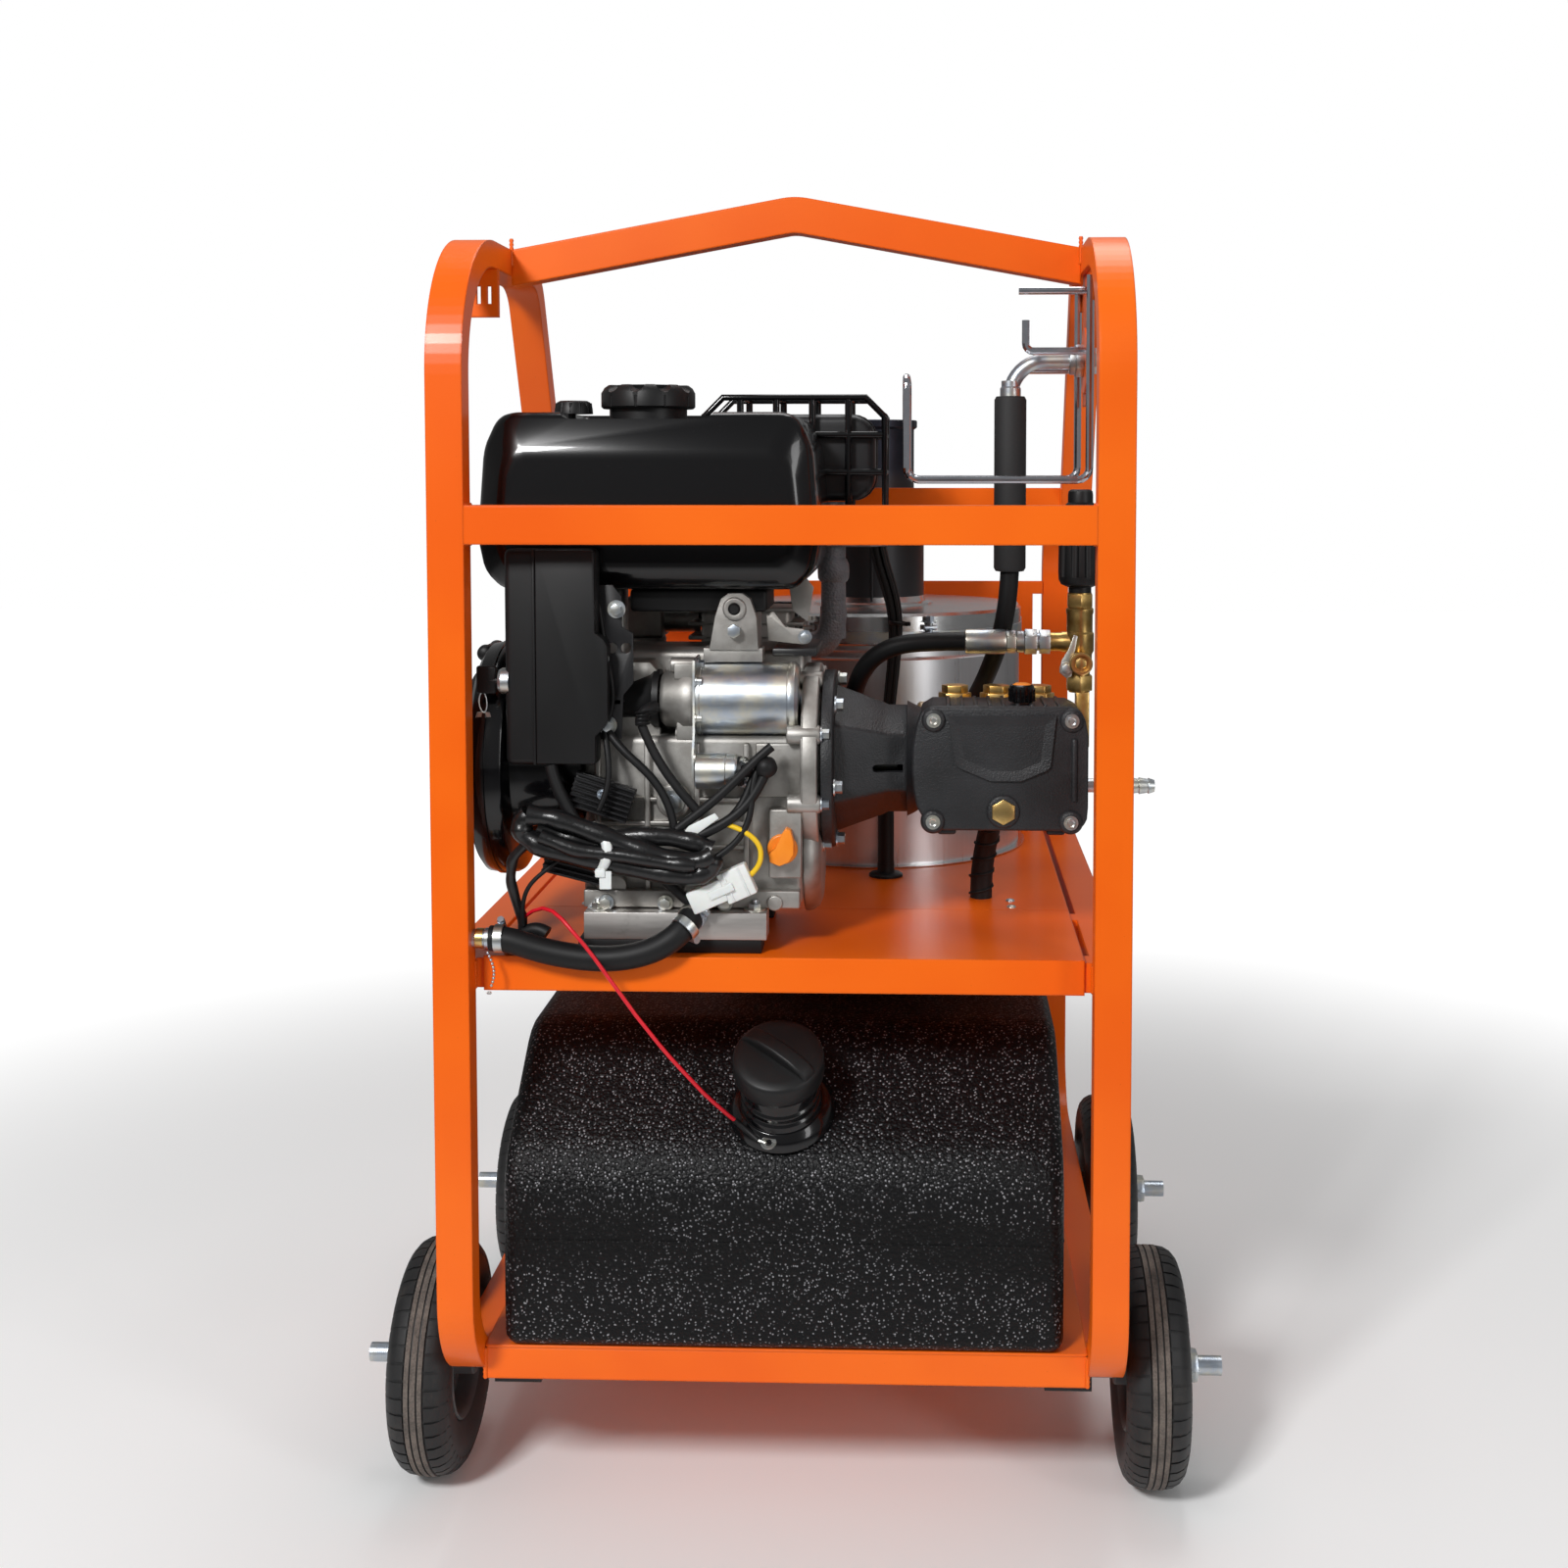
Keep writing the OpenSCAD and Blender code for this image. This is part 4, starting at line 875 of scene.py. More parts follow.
def fuel_cap():
    """Screw cap with ten thumb hollows in its rim and a groove under each."""
    cap = turned([(0, 22), (31, 22), (34, 24), (42, 24), (46, 21), (48.5, 16), (48.5, 2), (46.5, 0), (0, 0)],
                 (*FUEL_CAP, 1137), sides=120)
    cuts = []
    for i in range(10):
        angle = math.tau * (i + 0.3) / 10
        inner, rim, outer = ((FUEL_CAP[0] + radius * math.cos(angle), FUEL_CAP[1] + radius * math.sin(angle))
                             for radius in (36, 49, 62))
        cuts += [bar((*inner, 1166), (*outer, 1158), 9, 28), bar((*rim, 1135), (*rim, 1150), 1.3, 10)]
    cut(cap, weld(cuts))
    hub = turned([(0, 3.4), (12, 3.4), (14, 1.6), (26, 0.4), (26, 0), (0, 0)], (*FUEL_CAP, 1158.6), sides=48)
    part("fuel_cap_cover", [cap, hub], moulded, ["fuel_cap"], crisp=32, body="fuel_cap")


def fuel_gauge():
    base = turned([(0, 8), (9, 8), (11, 12), (14, 13.5), (17, 12), (19.5, 6), (20, 0), (0, 0)],
                  (-225, -290, 1132), sides=40)
    grips = [bar((*foot, 1133), (*top, 1143), 1.6, 8)
             for foot, top in zip(around(12, 18.6, (-225, -290)), around(12, 17.4, (-225, -290)))]
    part("fuel_gauge", [base] + grips, moulded, crisp=35)


def control_box():
    body = block((-275, -404, 782), (-183, -378, 997), 7, 4, crisp=50)
    panel = outline([(-243, 784), (-186, 784), (-184.5, 786), (-184.5, 812), (-176, 820), (-172, 828),
                     (-172, 900), (-176, 908), (-184.5, 914), (-184.5, 994), (-187, 995.5), (-243, 995.5)],
                    "XZ", -407.9, 22)
    soften(panel, 2.2, 3, angle=25, crisp=40)
    edge = block((-246.5, -406.4, 783), (-243.5, -398, 996), 1)
    part("control_box_shell", [body, panel, edge], moulded, ["control_box"])
    plate = outline([(-184, 806), (-162, 806), (-160, 850), (-150, 862), (-150, 912), (-161, 918),
                     (-161, 948), (-170, 960), (-184, 960)], "XZ", -385, 3)
    holes = [bar((x, -392, z), (x, -376, z), 5.2, 20) for x, z in ((-171, 897), (-157, 897))]
    cut(plate, weld(holes))
    stay = block((-184, -385, 840), (-162, -365, 846), 1)
    part("box_bracket", [plate, stay], powder, width=0.6, crisp=30)
    screws = [hex_bolt((-166, -385, 936), FRONT, 10, 6, 9), hex_bolt((-176, -385, 820), FRONT, 10, 7, 9.5),
              socket_bolt((-176, -400, 888), FRONT, 3.4, 2.4, 5)]
    eyelet = turned([(3.4, 1.6), (7.4, 1.6), (7.4, 0), (3.4, 0)], (-176, -388, 820), FRONT, 28)
    part("box_screws", screws + [eyelet], zinc, crisp=30)


def key_switch():
    """The barrel of the switch, the key with its black head, and the spare that hangs plumb from its ring."""
    barrel = turned([(0, 3), (11, 3), (13, 0), (13, -8), (0, -8)], (-279, -394, 865), LEFT, 36)
    part("switch_barrel", [barrel], zinc, crisp=30)
    head = block((-305, -397.2, 852), (-285, -390.8, 880), 2.6, 3, crisp=50)
    shank = turned([(0, 8), (3.4, 8), (3.4, 0), (0, 0)], (-283, -394, 865), LEFT, 20)
    part("key_head", [head, shank], moulded, ["ignition_key"], body="ignition_key", slot="zinc")
    hook = tube([(-299, -394, 856), (-303, -398, 849), (-301, -400, 838), (-297, -398, 832),
                 (-294, -394, 838), (-296, -391, 849), (-299, -394, 856)], 0.9, 8)
    blade = outline([(-304, 834), (-292, 834), (-289, 826), (-292, 816), (-295.5, 812), (-295.5, 780),
                     (-298, 776), (-300.5, 780), (-300.5, 786), (-302.5, 789), (-300.5, 792), (-302.5, 797),
                     (-300.5, 802), (-300.5, 812), (-304, 816), (-307, 826)], "XZ", -396.6, 2.2)
    part("spare_key", [hook, blade], zinc, width=0.3, steps=1, crisp=40)


def starter():
    """Zinc motor can with its rolled rims, the cast nose with its ears, and the through bolts."""
    axis_y, axis_z = STARTER
    can = turned([(0, 0), (36, 0), (37.6, 1.4), (37.6, 4.5), (36.8, 5.2), (36.8, 92), (37.4, 93), (38, 96),
                  (37.2, 100), (34, 103), (12, 103), (10, 105), (0, 105)], (-90, axis_y, axis_z), RIGHT, 72)
    stub = turned([(0, 16), (6.6, 16), (7.4, 15), (7.4, 3), (9.4, 2.6), (9.4, -2), (0, -2)],
                  (13, axis_y, axis_z), RIGHT, 36)
    plate = outline([(axis_y - 36.4, 872), (axis_y - 34, 884), (axis_y + 10, 886), (axis_y + 34, 870),
                     (axis_y + 36.4, 842), (axis_y + 20, 806), (axis_y - 22, 786), (axis_y - 46, 768),
                     (axis_y - 46, 792), (axis_y - 37, 812)], "YZ", -91.5, 2.2)
    clip = block((4, -380.4, 838), (8, -376, 852), 0.8)
    part("starter_can", [can, stub, plate, clip], zinc, ["starter_motor"], crisp=28)
    nose = turned([(0, 0), (31, 0), (32.5, 2), (32.5, 12), (30, 16), (28.5, 30), (24, 36), (0, 36)],
                  (-91.5, axis_y, axis_z), LEFT, 64)
    ears = [bar((-116, axis_y - 12, axis_z + 36), (-91.6, axis_y - 12, axis_z + 36), 7.5, 28),
            bar((-112, axis_y - 8, axis_z - 35), (-91.6, axis_y - 8, axis_z - 35), 8.5, 28),
            cube((-112, axis_y - 22, axis_z + 22), (-91.6, axis_y + 4, axis_z + 38)),
            cube((-110, axis_y - 20, axis_z - 40), (-91.6, axis_y + 8, axis_z - 20))]
    part("starter_nose", [nose] + ears, casting, width=1.6, steps=3, crisp=40)
    screws = [socket_bolt((-89.2, axis_y - 30, axis_z + 21), RIGHT, 4.2, 5, 6),
              socket_bolt((-89.2, axis_y - 33, axis_z - 16), RIGHT, 4.2, 5, 6),
              hex_bolt((-89.2, axis_y - 12, axis_z + 36), RIGHT, 8, 5, 7),
              hex_bolt((-89.2, -386, 787), RIGHT, 8, 5, 7)]
    part("starter_screws", screws, zinc, crisp=30)
    cone = turned([(30, 0), (30, 6), (26, 10), (20, 26), (20, 40), (0, 40), (0, 0)], (-128, axis_y, axis_z),
                  LEFT, 48)
    part("starter_nose_cover", [cone], moulded, crisp=30)


def solenoid():
    can = turned([(0, 0), (17, 0), (18, 1), (18, 30), (17.2, 31), (17.2, 40), (16, 42), (0, 42)],
                 (-88, -382.3, 774), RIGHT, 56)
    cap = turned([(0, 12), (5, 12), (6, 11), (6, 6), (13, 6), (15, 4), (15, -1), (0, -1)],
                 (-46, -382.3, 774), RIGHT, 40)
    part("solenoid_can", [can], zinc, ["solenoid"], crisp=28)
    part("solenoid_cap", [cap], moulded, crisp=30)
    posts = [hex_bolt((-40, -388, 784), (0.6, -0.8, 0), 7, 4, 5.5, stub=6),
             hex_bolt((-42, -378, 762), (0.8, -0.6, 0), 7, 4, 5.5, stub=6)]
    part("solenoid_posts", posts, zinc, crisp=30)


def crankcase():
    """Cast ribs, bosses and pads on the front of the crankcase, and the bearing side cover."""
    feet = (-180, -120, -60, -10)
    ribs = [cube((-196, -370, z), (-40, -362, z + 5)) for z in (668, 692, 716, 740)]
    ribs += [cube((x, -371.5, 636), (x + 6, -362, 800)) for x in (-192, -142, -92, -42)]
    ribs += [bar((-112, -378, 742), (-112, -362, 742), 17, 40),
             bar((-84, -376, 650), (-84, -362, 650), 18, 40),
             bar((-172, -374, 655), (-172, -362, 655), 12, 32), cube((-203, -377, 634), (15, -360, 652))]
    ribs += [bar((x, -380, 640), (x, -360, 640), 8, 24) for x in feet]
    ribs.append(outline([(-176, 790), (-128, 790), (-128, 868), (-138, 880), (-166, 880), (-176, 868)],
                        "XZ", -352, 44))
    part("crankcase_ribs", ribs, casting, width=1.8, steps=3, angle=30, crisp=40)
    rim = around(8, 91, CRANK, math.radians(22))
    cover = [bar((17, *CRANK), (33, *CRANK), 99.5, 96),
             turned([(99, 0), (98, 6), (88, 12), (84, 19.4), (78, 20.4), (40, 20.4), (40, 0)], (16, *CRANK),
                    RIGHT, 96)]
    cover += [bar((2, *spot), (36, *spot), 9.5, 28) for spot in rim]
    cover += [turned([(62, 0), (61, 8), (56, 15), (48, 18), (0, 18), (0, 0)], (17, -300, 678), RIGHT, 64),
              cube((-16, -378, 665), (17, -352, 735)),
              turned([(17, 0), (17, 8), (15.5, 11), (0, 11), (0, 0)], (-2, -362, 695), FRONT, 40),
              cube((-30, -368, 745), (17, -356, 800))]
    part("side_cover", cover, casting, ["crankcase_cover"], width=2.2, steps=3, crisp=42)
    bolts = [hex_bolt((36, *spot), RIGHT, 10, 7, 8) for spot in rim if spot[1] < 840]
    bolts += [hex_bolt((x, -380, 640), FRONT, 10, 6, 8) for x in feet[:3]]
    bolts.append(hex_bolt((-112, -378, 742), FRONT, 14, 5, 12))
    part("engine_bolts", bolts, zinc, crisp=30)


def oil_cap():
    collar = turned([(0, 8), (14, 8), (15.4, 6.5), (15.4, 0), (0, 0)], (-2, -373.4, 695), FRONT, 40)
    stem = bar((-2, -375, 695), (-2, -362, 695), 11, 32)
    tab = outline([(-14, 684), (-4, 680), (5, 684), (10, 692), (10, 705), (7, 716), (2, 718), (-2, 712),
                   (-8, 698), (-15, 692)], "XZ", -391.8, 13)
    part("oil_cap_handle", [collar, stem, tab], orange_cap, ["oil_filler_cap"], width=1.6, steps=3,
         crisp=45, body="oil_filler_cap")


def head_brackets():
    """The cast lug above the starter with its eye, the governor's arm and the cushion of the tank."""
    lug = outline([(-78, 892), (-28, 892), (-30, 926), (-36, 944), (-44, 950), (-58, 950), (-66, 944),
                   (-72, 926)], "XZ", -352, 26)
    eye = turned([(6, 3), (10.5, 3), (12, 1.5), (12, 0), (6, 0)], (-52, -352, 934), FRONT, 36)
    pad = cube((-84, -350, 880), (-24, -318, 894))
    part("tank_lug", [lug, eye, pad], casting, width=2.2, steps=3, crisp=42)
    arm = outline([(-20, 900), (16, 896), (24, 904), (16, 912), (-2, 914), (-14, 930), (-22, 928)], "XZ",
                  -330, 5)
    leaf = outline([(4, 930), (20, 918), (26, 954), (12, 972), (0, 962)], "XZ", -318, 3)
    part("governor_arm", [arm, leaf], casting, width=1, crisp=35)
    rubber_plug = turned([(0, 4), (4, 4), (6, 2), (6, -3), (0, -3)], (-52, -353.5, 934), FRONT, 28)
    slab = block((-160, -340, 930), (-20, -250, 953), 4, 3)
    part("tank_cushion", [rubber_plug, slab], moulded)
    bolts = [hex_bolt((-52, -338, 912), FRONT, 12, 22, 10), hex_bolt((18, -331, 904), FRONT, 8, 5, 7)]
    part("lug_bolts", bolts, zinc, crisp=30)


def fan_side():
    """Blower housing with its rolled lip, the slotted recoil cover and the handle."""
    shell = turned([(100, 0), (113, 1.5), (119, 6), (120, 12), (120, 33), (118, 36.5), (112, 38.5),
                    (90, 39.5), (88, 60), (88, 111), (0, 111), (0, 0)], (-316, *CRANK), RIGHT, 96)
    lip = turned([(120.2, 0), (121.8, 0.8), (121.8, 4.2), (120.2, 5), (118, 5), (118, 0)], (-300, *CRANK),
                 RIGHT, 96)
    part("blower_shell", [shell, lip], gloss, ["blower_housing"], crisp=35, slot="black_plastic")
    cover = turned([(0, 20), (26, 20), (34, 19), (40, 16), (78, 14.5), (90, 11), (95, 5), (96, 0), (0, 0)],
                   (-316, *CRANK), LEFT, 96)
    slots = []
    for inner, outer in zip(around(16, 48, CRANK), around(16, 82, CRANK, 0.12)):
        start, end = Vector((-331, *inner)), Vector((-331, *outer))
        slot = cube((-3.2, -9, 0), (3.2, 9, (end - start).length))
        slots.append(put(slot, start, facing(end - start, "X")))
    cut(cover, weld(slots))
    part("recoil_shell", [cover], moulded, ["recoil_cover"], crisp=30)
    grip = turned([(0, 35), (5, 35), (8.2, 32), (9, 26), (7.8, 14), (7.6, 0), (7.8, -14), (9, -26),
                   (8.2, -32), (5, -35), (0, -35)], (-326, -238, 880), BACK, 36)
    stem = turned([(0, 0), (5.4, 0), (4.6, -10), (5, -22), (0, -22)], (-326, -238, 877), sides=28)
    part("recoil_grip", [grip, stem], moulded, ["recoil_handle"], crisp=45, body="recoil_handle")


def engine_body():
    """Crankcase, cylinder and finned head, with valve cover, carburettor, spark plug and shrouds."""
    low = block((-205, -364, 633), (17, -204, 806), 7, 4, crisp=50)
    high = block((-205, -308, 790), (17, -204, 888), 7, 4, crisp=50)
    posts = [block((x, -308, 880), (x + 34, -275, 953), 5, 3, crisp=50) for x in (-205, -65)]
    ribs = [block((x, -212, 640), (x + 7, -199, 792), 2.4, 3) for x in range(-196, 16, 40)]
    ribs += [block((-204, -211, z), (16, -199.6, z + 7), 2.4, 3) for z in (640, 712, 784)]
    breather = block((-150, -206, 806), (-40, -192, 872), 5, 3)
    boss = bar((-95, -206, 742), (-95, -192, 742), 24, 40)
    part("engine_casting", [low, high, breather, boss] + posts + ribs, casting, ["engine_block"], crisp=48)
    fins = [block((-118, -204, 799 + 15 * i), (8, -130, 804 + 15 * i), 1.8) for i in range(9)]
    core = block((-104, -204, 800), (-6, -132, 922), 6, 3)
    studs = [hex_bolt((x, -131, z), BACK, 12, 7, 10) for x in (-108, -2) for z in (812, 914)]
    part("cylinder_fins", [core] + fins, casting, ["cylinder_head"], crisp=45)
    cover = block((-112, -134, 806), (2, -114, 926), 7, 4, crisp=50)
    cover_rib = [block((-100, -117, z), (-10, -112, z + 8), 2, 3) for z in (824, 862, 900)]
    part("valve_cover", [cover] + cover_rib, gloss, crisp=50, slot="black_plastic")
    part("head_nuts", studs, zinc, crisp=30)
    carburettor = [block((-196, -176, 888), (-150, -116, 932), 4, 3),
                   turned([(22, 0), (24, 3), (24, 22), (18, 30), (0, 30), (0, 0)], (-174, -146, 890), DOWN,
                          40),
                   bar((-174, -146, 928), (-174, -96, 958), 17, 32),
                   bar((-152, -146, 908), (-112, -146, 908), 15, 32)]
    part("carburettor", carburettor, casting, crisp=45)
    plug_lead = [turned([(9, 0), (10, 4), (9, 20), (12, 24), (12, 34), (7, 40), (0, 40), (0, 0)],
                        (-55, -113, 880), (0, 0.9, 0.3), 28),
                 tube([(-55, -78, 892), (-62, -70, 880), (-100, -80, 850), (-150, -120, 830),
                       (-200, -180, 830)], 3.6, 12)]
    part("plug_lead", plug_lead, hose, crisp=45)
    shroud = [block((-208, -202, 800), (-120, -140, 880), 10, 4, crisp=50),
              block((-16, -330, 884), (30, -220, 892), 2)]
    part("cylinder_shroud", shroud, powder, crisp=48)


def engine_rails():
    """Sawn aluminium bars on black rubber strips, with their studs."""
    bars, strips, nuts = [], [], []
    for y0, y1 in ((-394, -362), (-244, -212)):
        bars.append(block((-200, y0, 606), (-17, y1, 633), 0.8))
        strips.append(block((-206, y0 + 1, 592.2), (-22, y1 + 2, 606), 1.4))
        for x in (-188, -30):
            nuts.append(hex_bolt((x, (y0 + y1) / 2, 633), UP, 12, 5, 11, stub=4))
    part("rail_bars", bars, bar_stock, ["engine_rails"])
    part("rail_rubbers", strips, hose)
    part("rail_nuts", nuts, zinc, crisp=30)


for build in (engine_body, fuel_tank, fuel_cap, fuel_gauge, control_box, key_switch, starter, solenoid,
              crankcase, oil_cap, head_brackets, fan_side, engine_rails):
    build()


# ---------------------------------------------------------------- diesel tank

GRIP_TURN = math.radians(-38)
NECK = Vector((-6, -347, 424))
NECK_WAY = Vector((0, -0.5615, 0.8275))


def diesel_tank():
    """Moulded tank with its slanted shoulder, generous corners, and the parting line all round."""
    half = [(-400, 187), (-400, 336), (-398, 354), (-392, 372), (-382, 387), (-369, 399), (-286, 461),
            (-272, 471), (-256, 479), (-238, 483), (0, 483), (0, 187)]
    body = outline(half, "YZ", -285, 566)
    soften(body, 15, 5, angle=35, crisp=55)
    line = [block((-270, y, 298), (266, y + 2.7, 300.4), 0.6) for y in (-400.7, -2)]
    line += [block((x - 0.7, -384, 298), (x + 0.7, -16, 300.4), 0.5, 1) for x in (-285, 281)]
    part("diesel_tank_shell", [body] + line, pebbled, ["diesel_tank"])


def diesel_cap():
    """Round cap with a curved bar grip, on a slanted neck with rolled rings."""
    collar = turned([(56, -6), (52, 0), (50, 3), (47, 5), (44, 8), (42, 8), (41, 14), (38, 16), (38, 22),
                     (41, 24), (41, 28), (38, 30), (38, 50), (0, 50), (0, -6)], NECK, NECK_WAY, 72)
    part("filler_collar", [collar], gloss, width=0.8, crisp=32, slot="textured_plastic")
    cap = turned([(0, 52), (43, 52), (45.6, 54), (46, 58), (46, 74), (45, 77), (42, 79), (34, 80.4),
                  (0, 81), (0, 52)], NECK, NECK_WAY, 96)
    grip = outline([(-44, 74), (-43, 80), (-36, 87), (-20, 91.5), (0, 93), (20, 91.5), (36, 87), (43, 80),
                    (44, 74)], "XZ", -8.5, 17)
    soften(grip, 4.6, 4, angle=30, crisp=60)
    put(grip, NECK, facing(NECK_WAY) @ Matrix.Rotation(GRIP_TURN, 4, "Z"))
    part("diesel_cap_cover", [cap, grip], moulded, ["diesel_cap"], crisp=60, body="diesel_cap",
         slot="textured_plastic")


def earth_lug():
    """The wire's shrunk sleeve and its ring lug, held under the filler collar."""
    sleeve = tube([(-51, -386, 421), (-47, -381, 415), (-40, -381, 409), (-31, -385, 403),
                   (-26, -388, 400)], 3.2, 14)
    part("wire_sleeve", [sleeve], hose, crisp=60)
    ring = turned([(4, 1.2), (8, 1.2), (8, 0), (4, 0)], (-16, -391, 399), NECK_WAY, 28)
    strap = tube([(-28, -387.4, 401), (-22, -390, 399.6), (-18, -392, 399)], 1.8, 8)
    part("wire_lug", [ring, strap], zinc, crisp=35)


# ---------------------------------------------------------------- pump

PUMP_BOLTS = ((149, 824), (287, 824), (148.5, 721.5), (286.5, 721.5))


def pump_cover():
    """Cover with a bulging left flank, a raised bonnet, screw lands and the oil plug's boss."""
    rim = [(146, 838), (136, 832), (131, 818), (127.6, 796), (127, 774), (128.6, 752), (132, 736), (140, 722),
           (148, 713.5), (158, 712), (290, 712), (299, 716), (303, 724), (304, 736), (304, 808), (301, 824),
           (296, 834), (286, 838)]
    body = outline(rim, "XZ", -366.5, 9)
    soften(body, 4, 4, angle=30, crisp=45)
    bonnet = outline([(163, 829), (271.5, 829), (266, 778), (262, 774), (236, 763), (206, 763), (177, 775),
                      (171, 779)], "XZ", -370, 8)
    pick(bonnet, lambda place, way: way.y < -0.5)
    inset(10)
    shift(0, 3.0, 0)
    done()
    soften(bonnet, 4.2, 5, angle=14, crisp=60)
    lands = [turned([(12.5, 0), (11, 3.4), (8.8, 4.6), (0, 4.6), (0, -4), (12.5, -4)], (x, -365.4, z),
                    FRONT, 40) for x, z in PUMP_BOLTS]
    boss = turned([(17, 0), (16, 2.4), (14, 3.2), (0, 3.2), (0, -3), (17, -3)], (219, -366, 732), FRONT, 44)
    sides = [block((287, -369.2, 742), (293, -362, 806), 2.4, 3, crisp=50)]
    part("pump_front", [body, bonnet, boss] + lands + sides, pump_skin, ["pump_cover"], crisp=50)
    bolts = [socket_bolt((x, -370, z), FRONT, 4.6, 1.8, 7.2) for x, z in PUMP_BOLTS]
    part("pump_bolts", bolts, zinc, crisp=30)
    plug = hexagon((219, -371.8, 732), (219, -364, 732), 13, 0.8)
    face = turned([(11, 0), (8.4, 0.9), (0, 0.9), (0, -1), (11, -1)], (219, -371.6, 732), FRONT, 36)
    part("oil_plug", [plug, face], brass_bar, crisp=28)


def pump_case():
    """Crankcase behind the cover with cooling ribs on top, and the two feet."""
    body = outline([(148, 836), (138, 830), (132.6, 816), (130, 796), (129, 774), (131, 750), (138, 728),
                    (150, 715), (160, 713.5), (288, 713.5), (298, 718), (302.5, 730), (302.5, 812),
                    (298, 830), (286, 836)], "XZ", -358, 89.4)
    soften(body, 5, 3, angle=40, crisp=45)
    ribs = [block((x, -352, 832), (x + 4, -276, 838), 1.2) for x in range(162, 282, 14)]
    neck = turned([(60, 0), (56, 8), (52, 16), (52, 24), (0, 24), (0, 0)], (122, *CRANK), RIGHT, 64)
    feet = [block((x, -356, 706), (x + 19, -282, 716), 3, 3, crisp=50) for x in (153, 263)]
    part("pump_case", [body, neck] + ribs + feet, pump_skin, ["pump_crankcase"], crisp=45)


def pump_manifold():
    """Brass head with its side plugs, and the capped valves with their rings."""
    body = block((132, -268, 716), (299, -194, 822), 4, 3, crisp=45)
    lands, rings = [], []
    for x in (172, 216, 260):
        lands += [turned([(19, -2), (19, 2.4), (17, 4), (0, 4), (0, -2)], (x, -246, 822)),
                  hexagon((x, -246, 824), (x, -246, 838), 17.8, 1, turn=0.2 + x),
                  hexagon((x, -246, 836), (x, -246, 846), 14.4, 0.9, turn=0.2 + x)]
        rings.append(bar((x, -246, 821.5), (x, -246, 825.4), 19.6, 40))
    lands += [hexagon((x, -196, 744), (x, -184.5, 744), 10, 0.8) for x in (158, 176, 194, 216, 238, 260, 282)]
    rings += [socket_bolt((x, -193.8, z), BACK, 5, 5, 8)
              for x, z in ((140, 808), (291, 808), (140, 728), (291, 728), (194, 808), (238, 808))]
    part("pump_manifold", [body] + lands, brass_bar, ["pump_head"], crisp=32)
    part("pump_rings", rings, powder, crisp=32)


def pump_dipstick():
    cap = turned([(0, 17.6), (8, 17.6), (10.5, 18), (12.4, 16.6), (13, 14), (13, 2), (12, 0.3), (0, 0.3)],
                 (239, -328, 838), sides=48)
    grips = [bar((*spot, 839), (*spot, 852), 1.0, 8) for spot in around(18, 12.8, (239, -328))]
    part("pump_cap_cover", [cap] + grips, gloss, ["pump_oil_cap"], crisp=32, body="pump_oil_cap")
    glass = turned([(0, 2), (6.5, 1.6), (9.4, 0), (9.4, -0.6), (0, -0.6)], (239, -328, 855.8), sides=36)
    part("pump_cap_glass", [glass], orange_cap, crisp=32, body="pump_oil_cap")


BELL_TURN = math.radians(27)


def bell():
    """Bell housing between engine and pump: six-sided cone with a slot, on its screwed flange."""
    flange = turned([(92, 0), (92, 11), (89, 13), (60, 13), (60, 0)], (36, *CRANK), RIGHT, 96)
    cone = turned([(80, 0), (79, 8), (60, 60), (57, 66), (57, 84), (54, 90.5), (40, 90.5), (50, 50),
                   (66, 4), (66, 0)], (36.5, *CRANK), RIGHT, 6)
    about = Matrix.Translation(mm(0, *CRANK))
    cone.data.transform(about @ Matrix.Rotation(BELL_TURN, 4, "X") @ about.inverted())
    soften(cone, 9, 5, angle=28, crisp=60)
    slot = [(118, 767), (118, 775), (91, 775)]
    slot += [(91 - 4 * math.sin(math.pi * i / 8), 771 + 4 * math.cos(math.pi * i / 8)) for i in range(1, 8)]
    slot.append((91, 767))
    cut(cone, weld([outline(slot, "XZ", -380, 80), outline(slot, "XZ", -280, 80)]))
    collar = turned([(55, 0), (57.4, 1), (57.4, 4), (55, 5), (50, 5), (50, 0)], (121.6, *CRANK), RIGHT, 64)
    part("bell_shell", [soften(flange, 1, 2), cone, collar], pump_skin, ["bell_housing"], crisp=45)
    bolts = [hex_bolt((49, *spot), RIGHT, 11, 7, 9) for spot in around(6, 84, CRANK, math.radians(12))]
    part("bell_bolts", bolts, zinc, crisp=30)


# ---------------------------------------------------------------- unloader and fittings

UNLOADER = (303, -256)
OUTLET_NUT = (-235, 1189)


